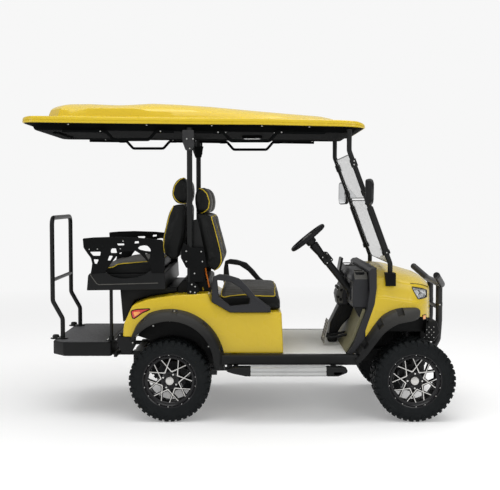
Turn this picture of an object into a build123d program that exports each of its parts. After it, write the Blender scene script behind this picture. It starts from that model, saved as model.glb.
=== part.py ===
"""Four-seat electric utility vehicle: raised axles, rear-facing back seat, long roof.

Frame: X forward, Y to the vehicle's left, Z up, origin on the ground under the middle
of the overall length. Millimetres. Each function makes one node, and the table at the
end names the node that it is written to.
"""
import math
import os

from build123d import *

# ---------------------------------------------------------------- driving sizes
LENGTH = 2964.0            # front tyre's front edge to the roof's rear edge
WHEELBASE = 1670.0
TYRE_R = 280.0             # to the tips of the lugs
TYRE_WIDTH = 250.0
LUG_DEPTH = 9.0
LUG_WIDTH = 38.0           # along the tread
LUGS = 18                  # on each shoulder
BEAD_R = 178.0             # where the tyre sits on its rim
RIM_HALF = 106.0           # half the width of a rim
RIM_WALL = 12.0
SPOKES = 8                 # pairs of crossing spokes
HUB_OUT = 60.0             # middle of the tyre to the inner face of the wheel's hub

BODY_HALF = 560.0          # middle plane to the body's side panels
WHEEL_INSET = 55.0         # side panels to the middle of a tyre
KINGPIN_INSET = 105.0      # middle of a front tyre to its kingpin
KINGPIN_R = 20.0
PANEL = 5.0                # wall of a moulded body panel
FLARE_WIDTH = 80.0         # how far the wheel-arch flares stand out of the side
FLOOR_TOP = 461.0
FLOOR_THICK = 31.0
SILL_TOP = 460.0
SILL_HEIGHT = 69.0
SILL_WIDTH = 60.0

RAIL_INSET = 265.0         # middle of a rear tyre to the middle of each main rail
NECK_Y = 150.0             # middle of each rail between the front wheels
RAIL_WIDTH = 60.0
RAIL_HEIGHT = 90.0
TOW_PAD = 8.0              # thickness of the pads that a tow eye and a hitch bolt to
TOW_PAD_HALF = 60.0
TOWER_TOP = 650.0          # heads of the rear dampers

REAR_ARCH_R = 298.0        # opening over the rear wheel
REAR_ARCH_Z = 392.0
REAR_FLARE_R = 376.0
FRONT_ARCH_R = 345.0       # opening over the front wheel
FRONT_ARCH_Z = 370.0

STEP_BAR_OUT = 130.0       # side panels to the outer edge of the side steps
STEP_BAR_WIDTH = 90.0
STEP_BAR_TOP = 388.0
STEP_BAR_HEIGHT = 61.0

ROOF_OVERHANG = 10.0       # side panels out to the roof's side edge
ROOF_LIP = 50.0            # height of the band round the roof's edge
ROOF_REAR_Z = 2040.0       # lower edge of that band at the rear
ROOF_FRONT_Z = 2000.0      # and at the front
ROOF_CREST = 156.0         # rear lower edge up to the top of the crown
ROOF_WALL = 6.0
ROOF_FRONT_DX = -330.0     # front axle to the roof's front edge
LINER_REAR_Z = 1930.0      # underside of the liner
LINER_FRONT_Z = 1946.0
LINER_SEAM = 8.0           # thickness of the liner where it meets the band

POST_R = 17.0              # windshield posts
POST_INSET = 50.0          # side panels to those posts
POST_FOOT_Z = 1014.0       # top of the bracket that holds a windshield post
POST_LOW_Z = 1074.0        # lower bend of a post
POST_HIGH_Z = 1848.0       # upper bend
POST_LOW_DX = -160.0
POST_HIGH_DX = -446.0
PANE = 5.0                 # thickness of the windshield
STRUT_R = 19.0             # upright posts behind the seat backs
STRUT_INSET = 40.0
STRUT_DX = 135.0           # rear axle to those posts
PLATE = 14.0               # plates that hold the seat backs and posts

STEER_Y = -280.0           # the driver sits on the right
STEER_HUB_DX = -711.0      # front axle to the steering wheel's hub
STEER_HUB_Z = 1243.0
STEER_RAKE = 39.0          # the column's lean back from upright, in degrees
STEER_WHEEL_R = 158.0
STEER_RIM_R = 13.0

SEAT_INSET = 80.0          # side panels to the side of a seat cushion
SEAT_FRONT_DX = 763.0      # rear axle to the front of the seat box
SEAT_DECK_Z = 746.0        # top of the seat box
SEAT_TOP_Z = 884.0
SEAT_CROWN = 50.0          # drop from the middle of the bench cushion to its side edges
HINGE_R = 9.0              # hinges along the front edge of the seat box
HINGE_FIXED = (300.0, 340.0)    # their barrels on the seat box, from the middle plane
HINGE_MOVING = (340.3, 380.0)   # and on the cushion
BACK_WIDTH = 430.0         # one seat back
BACK_Y = 250.0             # middle of each seat back
HEAD_WIDTH = 260.0         # one headrest
REAR_BASE_Z = 897.0        # underside of the rear seat's base
REAR_BASE_HEIGHT = 105.0
ARM_THICK = 24.0           # moulded side frames of the rear seat
LOOP_THICK = 50.0          # loops beside the front bench

STEP_TOP = 526.0           # rear foot step
STEP_DEPTH = 425.0
STEP_INSET = 90.0
STEP_CUT = 90.0            # cut corners of the step
STEP_HEIGHT = 100.0
STEP_FRONT_DX = -415.0     # rear axle to the step's front edge
RAIL_END_DX = -290.0       # rear axle to the rear ends of the rails
GRAB_Y = 320.0
GRAB_R = 16.0
GRAB_TOP_Z = 1385.0

BULLBAR_R = 19.0
BULLBAR_Y = 160.0
BULLBAR_TOP_Z = 905.0

# side views, as distance from the rear axle and height
TAIL_LAMP = [(-325, 745), (-268, 778), (-134, 771), (-252, 704), (-325, 706)]
FRONT_BACK = [(187, 1400), (280, 1412), (322, 1372), (381, 1140), (362, 1050), (300, 1024), (265, 1037)]
FRONT_HEAD = [(188, 1570), (219, 1589), (270, 1560), (304, 1497), (270, 1425), (200, 1421)]
REAR_BACK = [
    (5, 1480), (70, 1496), (100, 1480), (75, 1130), (28, 1104), (-37, 1120), (-66, 1193), (-53, 1286),
]
REAR_HEAD = [(19, 1530), (10, 1590), (45, 1645), (94, 1667), (125, 1660), (125, 1505), (60, 1502)]
# the same from the front axle
HEADLAMP = [(-16, 919), (88, 899), (104, 891), (109, 836), (29, 830)]

FIT = 0.3                  # gap between two pieces that meet at a curved or moving face

# ---------------------------------------------------------------- places worked out
FRONT_AXLE_X = LENGTH / 2 - TYRE_R
REAR_AXLE_X = FRONT_AXLE_X - WHEELBASE
AXLE_Z = TYRE_R
TRACK_HALF = BODY_HALF - WHEEL_INSET
KINGPIN_Y = TRACK_HALF - KINGPIN_INSET
RAIL_Y = TRACK_HALF - RAIL_INSET
HUB_FACE = TRACK_HALF + HUB_OUT
ROOF_HALF = BODY_HALF + ROOF_OVERHANG
ROOF_REAR_X = -LENGTH / 2
ROOF_FRONT_X = FRONT_AXLE_X + ROOF_FRONT_DX
RAIL_TOP = FLOOR_TOP - FLOOR_THICK
RAIL_BOTTOM = RAIL_TOP - RAIL_HEIGHT
SILL_BOTTOM = SILL_TOP - SILL_HEIGHT
POST_Y = BODY_HALF - POST_INSET
STRUT_Y = BODY_HALF - STRUT_INSET
SEAT_HALF = BODY_HALF - SEAT_INSET
STEP_HALF = BODY_HALF - STEP_INSET
TRIM_HALF = BODY_HALF - 60.0       # inner sides of the arch behind the cowl
SPRING_Y = TRACK_HALF - 187.0      # rear dampers


# ---------------------------------------------------------------- making shapes
def rear(points):
    """Points given as (X from the rear axle, Z)."""
    return [(REAR_AXLE_X + dx, z) for dx, z in points]


def front(points):
    """Points given as (X from the front axle, Z)."""
    return [(FRONT_AXLE_X + dx, z) for dx, z in points]


def outline(points, radius=0.0):
    """Closed flat face, its corners rounded."""
    face = make_face(Polyline(*points, close=True))
    if radius > 0:
        face = fillet(face.vertices(), radius)
    return face


def slab_y(face, y0, y1):
    """A face in X and Z, made thick from y0 up to y1."""
    plane = Plane(origin=(0, y1, 0), x_dir=(1, 0, 0), z_dir=(0, -1, 0))
    return extrude(plane * face, y1 - y0)


def slab_z(face, z0, z1):
    """A face in X and Y, made thick from z0 up to z1."""
    return extrude(Plane.XY.offset(z0) * face, z1 - z0)


def slab_x(face, x0, x1):
    """A face in Y and Z, made thick from x0 up to x1."""
    plane = Plane(origin=(x0, 0, 0), x_dir=(0, 1, 0), z_dir=(1, 0, 0))
    return extrude(plane * face, x1 - x0)


def block(x0, x1, y0, y1, z0, z1):
    """A box between two corners."""
    box = Box(x1 - x0, y1 - y0, z1 - z0, align=(Align.MIN, Align.MIN, Align.MIN))
    return Pos(x0, y0, z0) * box


def rod(start, end, radius):
    """A round bar from one point to another."""
    run = Vector(*end) - Vector(*start)
    bar = Cylinder(radius, run.length, align=(Align.CENTER, Align.CENTER, Align.MIN))
    return Plane(origin=start, z_dir=run) * bar


def tube(points, radius, bend):
    """A round bar bent along straight runs."""
    path = FilletPolyline(*points, radius=bend)
    return sweep(Plane(origin=path @ 0, z_dir=path % 0) * Circle(radius), path=path)


def axle_disc(x, z, radius, y0, y1):
    """A disc that faces sideways."""
    return rod((x, y0, z), (x, y1, z), radius)


def mirrored(shape):
    """The same piece on the other side of the vehicle."""
    return mirror(shape, about=Plane.XZ)


def pair(shape):
    """The piece and its twin on the other side."""
    return shape + mirrored(shape)


def across(face, half):
    """A face in X and Z, made thick to both sides of the middle plane."""
    return slab_y(face, -half, half)


# ---------------------------------------------------------------- wheels
def flat_ring(radius, y):
    """A face across the wheel's axis, with one flat for each lug of the two shoulders."""
    sides = 2 * LUGS
    corner = radius / math.cos(math.pi / sides)
    angles = [2 * math.pi * (k + 0.5) / sides for k in range(sides)]
    points = [(corner * math.cos(angle), corner * math.sin(angle)) for angle in angles]
    plane = Plane(origin=(0, y, 0), x_dir=(1, 0, 0), z_dir=(0, 1, 0))
    return plane * make_face(Polyline(*points, close=True))


def flat_cone(radius, y, far_radius, far_y):
    """The solid between two such faces."""
    return loft([flat_ring(radius, y), flat_ring(far_radius, far_y)], ruled=True)


def tyre(x, side):
    """Tyre: a flat-sided carcass seated on the rim, with lugs along both shoulders."""
    half = TYRE_WIDTH / 2
    tread_r = TYRE_R - LUG_DEPTH
    tread_half = half - 32
    bead_half = RIM_HALF - 10
    body = flat_cone(tread_r, -tread_half, tread_r, tread_half)
    for turn in (-1, 1):
        body += flat_cone(tread_r, turn * tread_half, TYRE_R - 40, turn * half)
        body -= flat_cone(BEAD_R + 44, turn * half, BEAD_R + 14, turn * bead_half)
        body -= flat_cone(BEAD_R + 14, turn * bead_half, BEAD_R + 14, turn * (half + 5))
    body -= flat_cone(BEAD_R, -half, BEAD_R, half)
    lug_face = make_face(Polyline(
        (TYRE_R - 38, half - 3), (TYRE_R, half - 12), (TYRE_R, 36), (tread_r - 6, 36),
        (tread_r - 6, tread_half - 8), close=True,
    ))
    lug = extrude(Plane.XY.offset(-LUG_WIDTH / 2) * lug_face, LUG_WIDTH)
    lugs = []
    for k in range(LUGS):
        lugs.append(Rot(0, 360 * k / LUGS, 0) * lug)
        lugs.append(Rot(0, 360 * (k + 0.5) / LUGS, 0) * mirrored(lug))
    return Pos(x, side * TRACK_HALF, AXLE_Z) * (body + lugs)


def rim(x, side):
    """Rim: barrel with two flanges, bolt ring, crossing spokes and a centre cap."""
    outer = BEAD_R - FIT
    inner = outer - RIM_WALL
    flange = outer + 12
    face_y = HUB_OUT + 24
    section = [
        (inner, -RIM_HALF),
        (flange, -RIM_HALF),
        (flange, -RIM_HALF + 6),
        (outer, -RIM_HALF + 9),
        (outer, RIM_HALF - 9),
        (flange, RIM_HALF - 6),
        (flange, RIM_HALF),
        (inner, RIM_HALF),
    ]
    wheel = revolve(Plane.XY * make_face(Polyline(*section, close=True)), Axis.Y)
    ring_in = inner - 17
    wheel += axle_disc(0, 0, inner + 1, face_y, face_y + 14)
    wheel -= axle_disc(0, 0, ring_in, face_y - 1, face_y + 15)
    hub_r = 66.0
    wheel += axle_disc(0, 0, hub_r, HUB_OUT, face_y)
    wheel += axle_disc(0, 0, 30, face_y, face_y + 18)
    lean = 53.5
    start = hub_r - 3
    # from the hub out to the bolt ring, along a line that leans away from straight out
    cosine = math.cos(math.radians(lean))
    long = -start * cosine + math.sqrt((ring_in + 3) ** 2 - (start * math.sin(math.radians(lean))) ** 2)
    for k in range(SPOKES):
        root = Rot(0, 360 * k / SPOKES, 0) * Pos(start, 0, 0)
        for turn in (-lean, lean):
            bar = Box(long, 20, 9, align=(Align.MIN, Align.MIN, Align.CENTER))
            wheel += root * Rot(0, turn, 0) * Pos(0, face_y - 14, 0) * bar
    if side < 0:
        wheel = mirrored(wheel)
    return Pos(x, side * TRACK_HALF, AXLE_Z) * wheel


def knuckle(side):
    """Front upright: kingpin, spindle, brake drum and steering arm."""
    x = FRONT_AXLE_X
    post = rod((x, KINGPIN_Y, AXLE_Z - 65), (x, KINGPIN_Y, AXLE_Z + 65), KINGPIN_R)
    post += axle_disc(x, AXLE_Z, 22, KINGPIN_Y, HUB_FACE - FIT)
    post += axle_disc(x, AXLE_Z, 95, KINGPIN_Y + 50, KINGPIN_Y + 90)
    post += block(x - 112, x, KINGPIN_Y - 10, KINGPIN_Y + 10, AXLE_Z - 32, AXLE_Z - 14)
    return post if side > 0 else mirrored(post)


# ---------------------------------------------------------------- running gear
def front_suspension():
    """Lower and upper arms on a sub-frame, with the steering rack."""
    x = FRONT_AXLE_X
    low_z = AXLE_Z - 84
    high_z = AXLE_Z + 80
    inner_y = NECK_Y + RAIL_WIDTH / 2
    foot_y = KINGPIN_Y - 80
    base = block(x - 150, x + 150, -inner_y + 15, inner_y - 15, AXLE_Z - 45, RAIL_BOTTOM)
    arm = rod((x, KINGPIN_Y, low_z - 13), (x, KINGPIN_Y, AXLE_Z - 65 - FIT), KINGPIN_R + 4)
    arm += rod((x, KINGPIN_Y, AXLE_Z + 65 + FIT), (x, KINGPIN_Y, high_z + 11), KINGPIN_R + 4)
    arm += block(x - 40, x + 40, foot_y - 15, foot_y + 15, low_z + 8, low_z + 32)
    for lean in (-1, 1):
        arm += rod((x + lean * 95, inner_y - 20, low_z + 60), (x, KINGPIN_Y, low_z), 14)
        arm += rod((x + lean * 130, inner_y - 5, high_z + 12), (x, KINGPIN_Y, high_z), 11)
        arm += block(x + lean * 130 - 16, x + lean * 130 + 16, inner_y, inner_y + 14,
                     high_z - 4, high_z + 28)
    arm -= block(x - 200, x + 200, 0, inner_y, RAIL_BOTTOM, RAIL_TOP)
    rack_x = x - 150
    rack_z = AXLE_Z - 23
    rack = rod((rack_x, -KINGPIN_Y + 105, rack_z), (rack_x, KINGPIN_Y - 105, rack_z), 9)
    rack += rod((rack_x, -KINGPIN_Y / 2, rack_z), (rack_x, KINGPIN_Y / 2, rack_z), 20)
    return base + pair(arm) + rack


def rear_axle():
    """Axle tube with its gearbox, motor, brake drums, stub shafts and trailing bars."""
    x = REAR_AXLE_X
    drum = TRACK_HALF - 65
    axle = axle_disc(x, AXLE_Z, 36, -drum + 50, drum - 50)
    axle += rod((x - 80, 0, AXLE_Z), (x + 90, 0, AXLE_Z), 92)
    axle += rod((x + 90, 0, AXLE_Z), (x + 300, 0, AXLE_Z), 78)
    end = axle_disc(x, AXLE_Z, 105, drum - 52, drum)
    end += axle_disc(x, AXLE_Z, 22, drum, HUB_FACE - FIT)
    end += block(x - 40, x + 40, SPRING_Y - 38, SPRING_Y + 38, AXLE_Z + 20, AXLE_Z + 44)
    end += rod((x, RAIL_Y, AXLE_Z + 14), (x + 380 - FIT, RAIL_Y, AXLE_Z + 14), 14)
    return axle + pair(end)


def coil_over(foot, head):
    """Damper with its spring round it."""
    run = Vector(*head) - Vector(*foot)
    long = run.length
    unit = rod((0, 0, 0), (0, 0, long), 14)
    unit += rod((0, 0, long * 0.55), (0, 0, long), 22)
    coils = 8
    for k in range(coils):
        z = long * (0.12 + 0.76 * k / (coils - 1))
        unit += rod((0, 0, z - 6), (0, 0, z + 6), 34)
    return Plane(origin=foot, z_dir=run) * unit


def springs():
    """Coil-over dampers: two at the front, two upright ones on the rear axle."""
    x = FRONT_AXLE_X
    ahead = coil_over((x, KINGPIN_Y - 78, AXLE_Z - 84 + 36), (x, NECK_Y + 76, 602))
    x = REAR_AXLE_X
    behind = coil_over((x, SPRING_Y, AXLE_Z + 44 + FIT), (x, SPRING_Y, TOWER_TOP - 30 - FIT))
    return pair(ahead) + pair(behind)


def chassis_frame():
    """Box rails, stepped in between the front wheels, with cross members and towers."""
    rear_end = REAR_AXLE_X + RAIL_END_DX
    neck_x = FRONT_AXLE_X - 370
    front_end = FRONT_AXLE_X + 128
    half = RAIL_WIDTH / 2
    side = block(rear_end, neck_x + 50, RAIL_Y - half, RAIL_Y + half, RAIL_BOTTOM, RAIL_TOP)
    side += block(neck_x, front_end, NECK_Y - half, NECK_Y + half, RAIL_BOTTOM, RAIL_TOP)
    # towers that hold the heads of the dampers
    x = REAR_AXLE_X
    side += block(x - 20, x + 20, RAIL_Y - 20, RAIL_Y + 20, RAIL_TOP, TOWER_TOP)
    side += block(x - 20, x + 20, RAIL_Y - 20, SPRING_Y + 32, TOWER_TOP - 30, TOWER_TOP)
    x = FRONT_AXLE_X
    side += block(x - 30, x + 30, NECK_Y - 10, NECK_Y + 25, RAIL_TOP, TOWER_TOP - 10)
    side += block(x - 30, x + 30, NECK_Y - 10, NECK_Y + 100, TOWER_TOP - 38, TOWER_TOP - 10)
    # brackets for the trailing bars and outriggers under the floor
    side += block(REAR_AXLE_X + 380, REAR_AXLE_X + 420, RAIL_Y - 20, RAIL_Y + 20,
                  AXLE_Z - 4, RAIL_BOTTOM)
    for x in (REAR_AXLE_X + 420, FRONT_AXLE_X - 480):
        side += block(x, x + 40, RAIL_Y, BODY_HALF - FIT, RAIL_TOP - 40, RAIL_TOP)
    frame = pair(side)
    members = [rear_end, REAR_AXLE_X + 310, REAR_AXLE_X + 720, neck_x]
    for x in members:
        frame += block(x, x + 50, -RAIL_Y, RAIL_Y, RAIL_BOTTOM + 10, RAIL_TOP - 10)
    frame += block(front_end - 50, front_end, -NECK_Y, NECK_Y, RAIL_BOTTOM, RAIL_TOP)
    # pads for a tow eye in front and a hitch behind
    for x in (front_end, rear_end - TOW_PAD):
        frame += block(x, x + TOW_PAD, -TOW_PAD_HALF, TOW_PAD_HALF, RAIL_BOTTOM + 15, RAIL_TOP - 15)
    return frame


def battery():
    """Battery pack under the front seat, on the rails."""
    x = REAR_AXLE_X
    return block(x + 340, x + 720, -RAIL_Y - 20, RAIL_Y + 20, RAIL_TOP, RAIL_TOP + 200)


# ---------------------------------------------------------------- floor and sides
def floor_pan():
    """Flat floor between the seat box and the kick panel."""
    x0 = REAR_AXLE_X + SEAT_FRONT_DX + 13 + FIT
    return block(x0, FRONT_AXLE_X - 465, -BODY_HALF, BODY_HALF, RAIL_TOP, FLOOR_TOP)


def arch_ring(x, z, inner, outer, start, end, y0, y1):
    """Part of a ring over a wheel, between two angles counted from straight ahead."""
    reach = outer * 2.2
    wedge = [(x, z)]
    steps = 6
    for k in range(steps + 1):
        angle = math.radians(start + (end - start) * k / steps)
        wedge.append((x + reach * math.cos(angle), z + reach * math.sin(angle)))
    ring = axle_disc(x, z, outer, y0, y1) - axle_disc(x, z, inner, y0 - 1, y1 + 1)
    return ring & slab_y(outline(wedge), y0, y1)


def rear_arch_disc(radius, y0, y1):
    """A disc round the middle of the rear wheel opening."""
    return axle_disc(REAR_AXLE_X, REAR_ARCH_Z, radius, y0, y1)


def arch_block():
    """What the front wheel opening takes out of the cowl's left side."""
    return axle_disc(FRONT_AXLE_X, FRONT_ARCH_Z, FRONT_ARCH_R, RAIL_Y + 60, BODY_HALF + 10)


def front_flare_face():
    """Side view of a front flare, which widens down to the sill."""
    outer = [(-433, 440), (-347, 554), (-246, 695), (-187, 744), (-118, 771), (16, 776), (38, 754)]
    inner = [(36, 708), (-79, 692), (-171, 657), (-240, 598), (-293, 522), (-379, 391)]
    return outline(front(outer + inner))


def fender_flares():
    """Moulded flares over the four wheels, the front ones drawn in to the narrowing nose."""
    x = FRONT_AXLE_X
    y0 = BODY_HALF
    y1 = BODY_HALF + FLARE_WIDTH
    back = arch_ring(REAR_AXLE_X, REAR_ARCH_Z, REAR_ARCH_R, REAR_FLARE_R, -7, 148, y0, y1)
    # the rear end tapers down to the tail cap
    back -= slab_y(outline(rear([
        (-120, 770), (-183, 705), (-222, 667), (-247, 620), (-272, 550), (-420, 550), (-420, 770),
    ])), y0 - 1, y1 + 1)
    ahead = slab_y(front_flare_face(), y0, y1)
    inward = slab_y(front_flare_face(), y0 - 40, y0) & block(x - 60, x + 60, 0, y0, 500, 800)
    ahead += inward - cowl_form(0) - arch_block()
    return pair(back) + pair(max(ahead.solids(), key=lambda solid: solid.volume))


def side_sills():
    """Sills along both sides, between the flares."""
    y0 = BODY_HALF
    y1 = BODY_HALF + SILL_WIDTH
    sill = block(REAR_AXLE_X + 300, FRONT_AXLE_X - 360, y0, y1, SILL_BOTTOM, SILL_TOP)
    sill -= rear_arch_disc(REAR_FLARE_R + FIT, y0 - 1, y1 + 1)
    sill -= slab_y(front_flare_face(), y0 - 1, y1 + 1)
    return pair(max(sill.solids(), key=lambda solid: solid.volume))


def side_steps():
    """Side steps on two arms each, round at the front and tapered at the rear."""
    x0 = REAR_AXLE_X + 394
    x1 = FRONT_AXLE_X - 466
    top = STEP_BAR_TOP
    low = STEP_BAR_TOP - STEP_BAR_HEIGHT
    y1 = BODY_HALF + STEP_BAR_OUT
    face = outline([
        (x0, top - 14), (x0 + 40, top), (x1 - 40, top), (x1, top - 14), (x1, low + 22),
        (x1 - 55, low), (x0 + 130, low), (x0, low + 26),
    ], 8)
    bar = slab_y(face, y1 - STEP_BAR_WIDTH, y1)
    for x in (REAR_AXLE_X + 430, FRONT_AXLE_X - 560):
        bar += block(x, x + 36, RAIL_Y + RAIL_WIDTH / 2, y1 - STEP_BAR_WIDTH + 20, low + 20, low + 40)
    return pair(bar)


def rear_body_form(inset):
    """The outer form of the rear body, or the same form drawn in by a wall."""
    profile = rear([
        (-327, 574), (-313, 671), (-251, 802), (-85, 842), (45, 859), (274, 872),
        (280, 818), (412, SEAT_DECK_Z), (SEAT_FRONT_DX, SEAT_DECK_Z),
        (SEAT_FRONT_DX + 13, SILL_TOP), (168, SILL_TOP), (168, 574),
    ])
    face = outline(profile)
    if inset > 0:
        face = offset(face, amount=-inset, kind=Kind.INTERSECTION)
    return across(face, BODY_HALF - inset)




def seat_hinges(radius, y0, y1):
    """Hinge barrels at the front edge of the seat box, one on each side."""
    x = REAR_AXLE_X + SEAT_FRONT_DX
    z = SEAT_DECK_Z + FIT
    return pair(rod((x, y0, z), (x, y1, z), radius))


def rear_body():
    """Rear body: seat box, wheel housings and tail, a moulded shell open below."""
    shell = rear_body_form(0) - rear_body_form(PANEL)
    x = REAR_AXLE_X
    for side in (-1, 1):
        y_in, y_out = sorted((side * (TRACK_HALF - TYRE_WIDTH / 2 - 20), side * (BODY_HALF + 1)))
        shell -= rear_arch_disc(REAR_ARCH_R, y_in, y_out)
    half = BODY_HALF - PANEL
    step_x = x + 168 + PANEL
    shell -= block(step_x, x + SEAT_FRONT_DX, -half, half, SILL_TOP - 1, SILL_TOP + PANEL + 1)
    shell -= block(x - 322, step_x + 1, -half, half, 573, 574 + PANEL + 1)
    shell -= block(x + 167, step_x + 1, -half, half, SILL_TOP - 1, 580)
    # hatch under the seat cushion
    shell -= block(x + 430, x + SEAT_FRONT_DX - 40, -SEAT_HALF + 40, SEAT_HALF - 40,
                   SEAT_DECK_Z - PANEL - 1, SEAT_DECK_Z + 1)
    shell -= pair(slab_y(outline(rear(TAIL_LAMP)), BODY_HALF - 70, BODY_HALF + 1))
    shell -= seat_hinges(HINGE_R + FIT, HINGE_MOVING[0] - FIT, HINGE_MOVING[1] + FIT)
    return shell + seat_hinges(HINGE_R, *HINGE_FIXED)


def tail_lights():
    """Tail lamps let into the rear corners."""
    lamp = slab_y(outline(rear(TAIL_LAMP)), BODY_HALF - 70 + FIT, BODY_HALF)
    return pair(lamp & rear_body_form(0))


def tail_caps():
    """Corner caps below the tail."""
    cap = slab_y(outline(rear([
        (-346, 602), (-364, 562), (-358, 525), (-332, 470), (-300, 453), (-276, 453), (-244, 508),
        (-244, 590), (-320, 602),
    ]), 6), BODY_HALF - 90, BODY_HALF)
    return pair(cap - rear_body_form(0))


def cowl_form(inset):
    """The outer form of the front cowl, or the same form drawn in by a wall."""
    profile = front([
        (-259, 1049), (-142, 1042), (-34, 1018), (71, 987), (140, 945), (160, 900),
        (180, 800), (182, 732), (146, 569), (-290, 569), (-337, 608), (-271, 799),
        (-257, 917),
    ])
    plan = [
        (FRONT_AXLE_X - 340, BODY_HALF), (FRONT_AXLE_X - 20, BODY_HALF - 4),
        (FRONT_AXLE_X + 50, BODY_HALF - 30), (FRONT_AXLE_X + 110, BODY_HALF - 100),
        (FRONT_AXLE_X + 155, BODY_HALF - 260), (FRONT_AXLE_X + 182, 110),
    ]
    plan = plan + [(x, -y) for x, y in reversed(plan)]
    half = BODY_HALF
    slope = [(half, 560), (half, 945), (half - 60, 1008), (half - 170, 1036), (0, 1052)]
    slope = slope + [(-y, z) for y, z in reversed(slope[:-1])]
    faces = [outline(profile), outline(plan), outline(slope)]
    if inset > 0:
        faces = [offset(face, amount=-inset, kind=Kind.INTERSECTION) for face in faces]
    form = across(faces[0], BODY_HALF + 10)
    form &= slab_z(faces[1], 500, 1100)
    form &= slab_x(faces[2], FRONT_AXLE_X - 400, FRONT_AXLE_X + 300)
    return form




def headlamp_block():
    """The space that the left headlamp takes."""
    return slab_y(outline(front(HEADLAMP)), 380, BODY_HALF + 10)


def front_cowl():
    """Front cowl: bonnet, sides and nose in one moulded shell, open below."""
    shell = cowl_form(0) - cowl_form(PANEL)
    x = FRONT_AXLE_X
    shell -= pair(arch_block())
    half = BODY_HALF + 10
    shell -= block(x - 285, x + 141, -half, half, 560, 569 + PANEL + 1)
    half = BODY_HALF - PANEL
    shell -= block(x - 345, x - 250, -half, half, 560, 800)
    shell -= pair(headlamp_block())
    shell -= grille_block()
    return shell


def grille_block():
    """The space that the band between the headlamps takes."""
    x = FRONT_AXLE_X
    return block(x + 120, x + 200, -300, 300, 812, 872)


def headlights():
    """Headlamps let into the cowl's front corners."""
    lamp = headlamp_block() & cowl_form(0)
    lamp -= cowl_form(60)
    return pair(lamp)


def cowl_trim():
    """Arched trim behind the cowl, from sill to sill, and the grille band."""
    band = outline(front([
        (-453, SILL_TOP), (-413, 524), (-321, 767), (-305, 895), (-310, 1028), (-292, 1044),
        (-259 - FIT, 1049), (-257 - FIT, 917), (-271 - FIT, 799), (-337 - FIT, 608),
        (-337, 560), (-390, SILL_TOP),
    ]))
    arch = across(band, BODY_HALF)
    hollow = outline(front([(-500, 400), (-500, 1012), (-200, 1012), (-200, 400)]))
    arch -= across(hollow, TRIM_HALF)
    grille = grille_block() & (cowl_form(0) - cowl_form(25))
    return arch + grille


def firewall():
    """Kick panel from the floor up to the dashboard."""
    sheet = outline(front([
        (-465, FLOOR_TOP), (-453, FLOOR_TOP), (-405, 545), (-330, 740), (-330, 760), (-345, 760),
        (-417, 550),
    ]))
    return across(sheet, TRIM_HALF - FIT)


def dashboard():
    """Dashboard with a tray, a glove box opening, a centre console and a screen."""
    half = TRIM_HALF - FIT
    face = outline(front([
        (-409, 991), (-402, 1012 - FIT), (-310, 1012 - FIT), (-306, 767), (-415, 772),
    ]), 6)
    dash = across(face, half)
    x = FRONT_AXLE_X
    dash -= block(x - 390, x - 330, -half + 30, -half + 200, 960, 1020)
    dash -= block(x - 390, x - 330, 140, half - 40, 960, 1020)
    dash -= block(x - 420, x - 340, 160, half - 60, 800, 920)
    console = outline(front([(-405, 985), (-424, 960), (-490, 812), (-474, 735), (-405, 745)]), 6)
    dash += slab_y(console, -110, 110)
    screen = outline(front([(-462, 1080), (-446, 1084), (-416, 930), (-432, 926)]), 5)
    dash += slab_y(screen, -90, 90)
    return dash


def pedals():
    """Brake and drive pedals on their arms from the kick panel."""
    x = FRONT_AXLE_X
    plates = [
        (STEER_Y + 60, 90.0),
        (STEER_Y + 190, 60.0),
    ]
    group = None
    for y, width in plates:
        plate = outline(front([(-560, 640), (-552, 643), (-590, 480), (-598, 478)]))
        pedal = slab_y(plate, y - width / 2, y + width / 2)
        pedal += rod((x - 585, y, 520), (x - 432, y, 520), 9)
        pedal -= firewall()
        group = pedal if group is None else group + pedal
    return group


# ---------------------------------------------------------------- steering
def steer_point(along):
    """A point on the column, counted down from the wheel's hub."""
    rake = math.radians(STEER_RAKE)
    x = FRONT_AXLE_X + STEER_HUB_DX + along * math.sin(rake)
    return (x, STEER_Y, STEER_HUB_Z - along * math.cos(rake))


def steering_column():
    """Column from the kick panel to just below the steering wheel."""
    column = rod(steer_point(60), steer_point(250), 20)
    column += rod(steer_point(230), steer_point(560), 30)
    column += rod(steer_point(140), steer_point(200), 32)
    column -= dashboard()
    column -= firewall()
    return max(column.solids(), key=lambda solid: solid.volume)


def steering_wheel():
    """Steering wheel: round rim, three spokes and a hub."""
    reach = STEER_WHEEL_R - STEER_RIM_R
    ring = Torus(reach, STEER_RIM_R)
    wheel = ring + Pos(0, 0, -28) * Cylinder(36, 46)
    for angle in (0, 90, 180):
        spoke = Box(reach, 34, 10, align=(Align.MIN, Align.CENTER, Align.CENTER))
        wheel += Rot(0, 0, angle) * Pos(0, 0, -8) * Rot(0, -3, 0) * spoke
    wheel += Pos(0, 0, -50) * Cylinder(16, 20 - FIT)
    axis = Vector(*steer_point(0)) - Vector(*steer_point(9))
    lean = Plane(origin=steer_point(0), x_dir=(0, 1, 0), z_dir=axis)
    return lean * wheel


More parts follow.
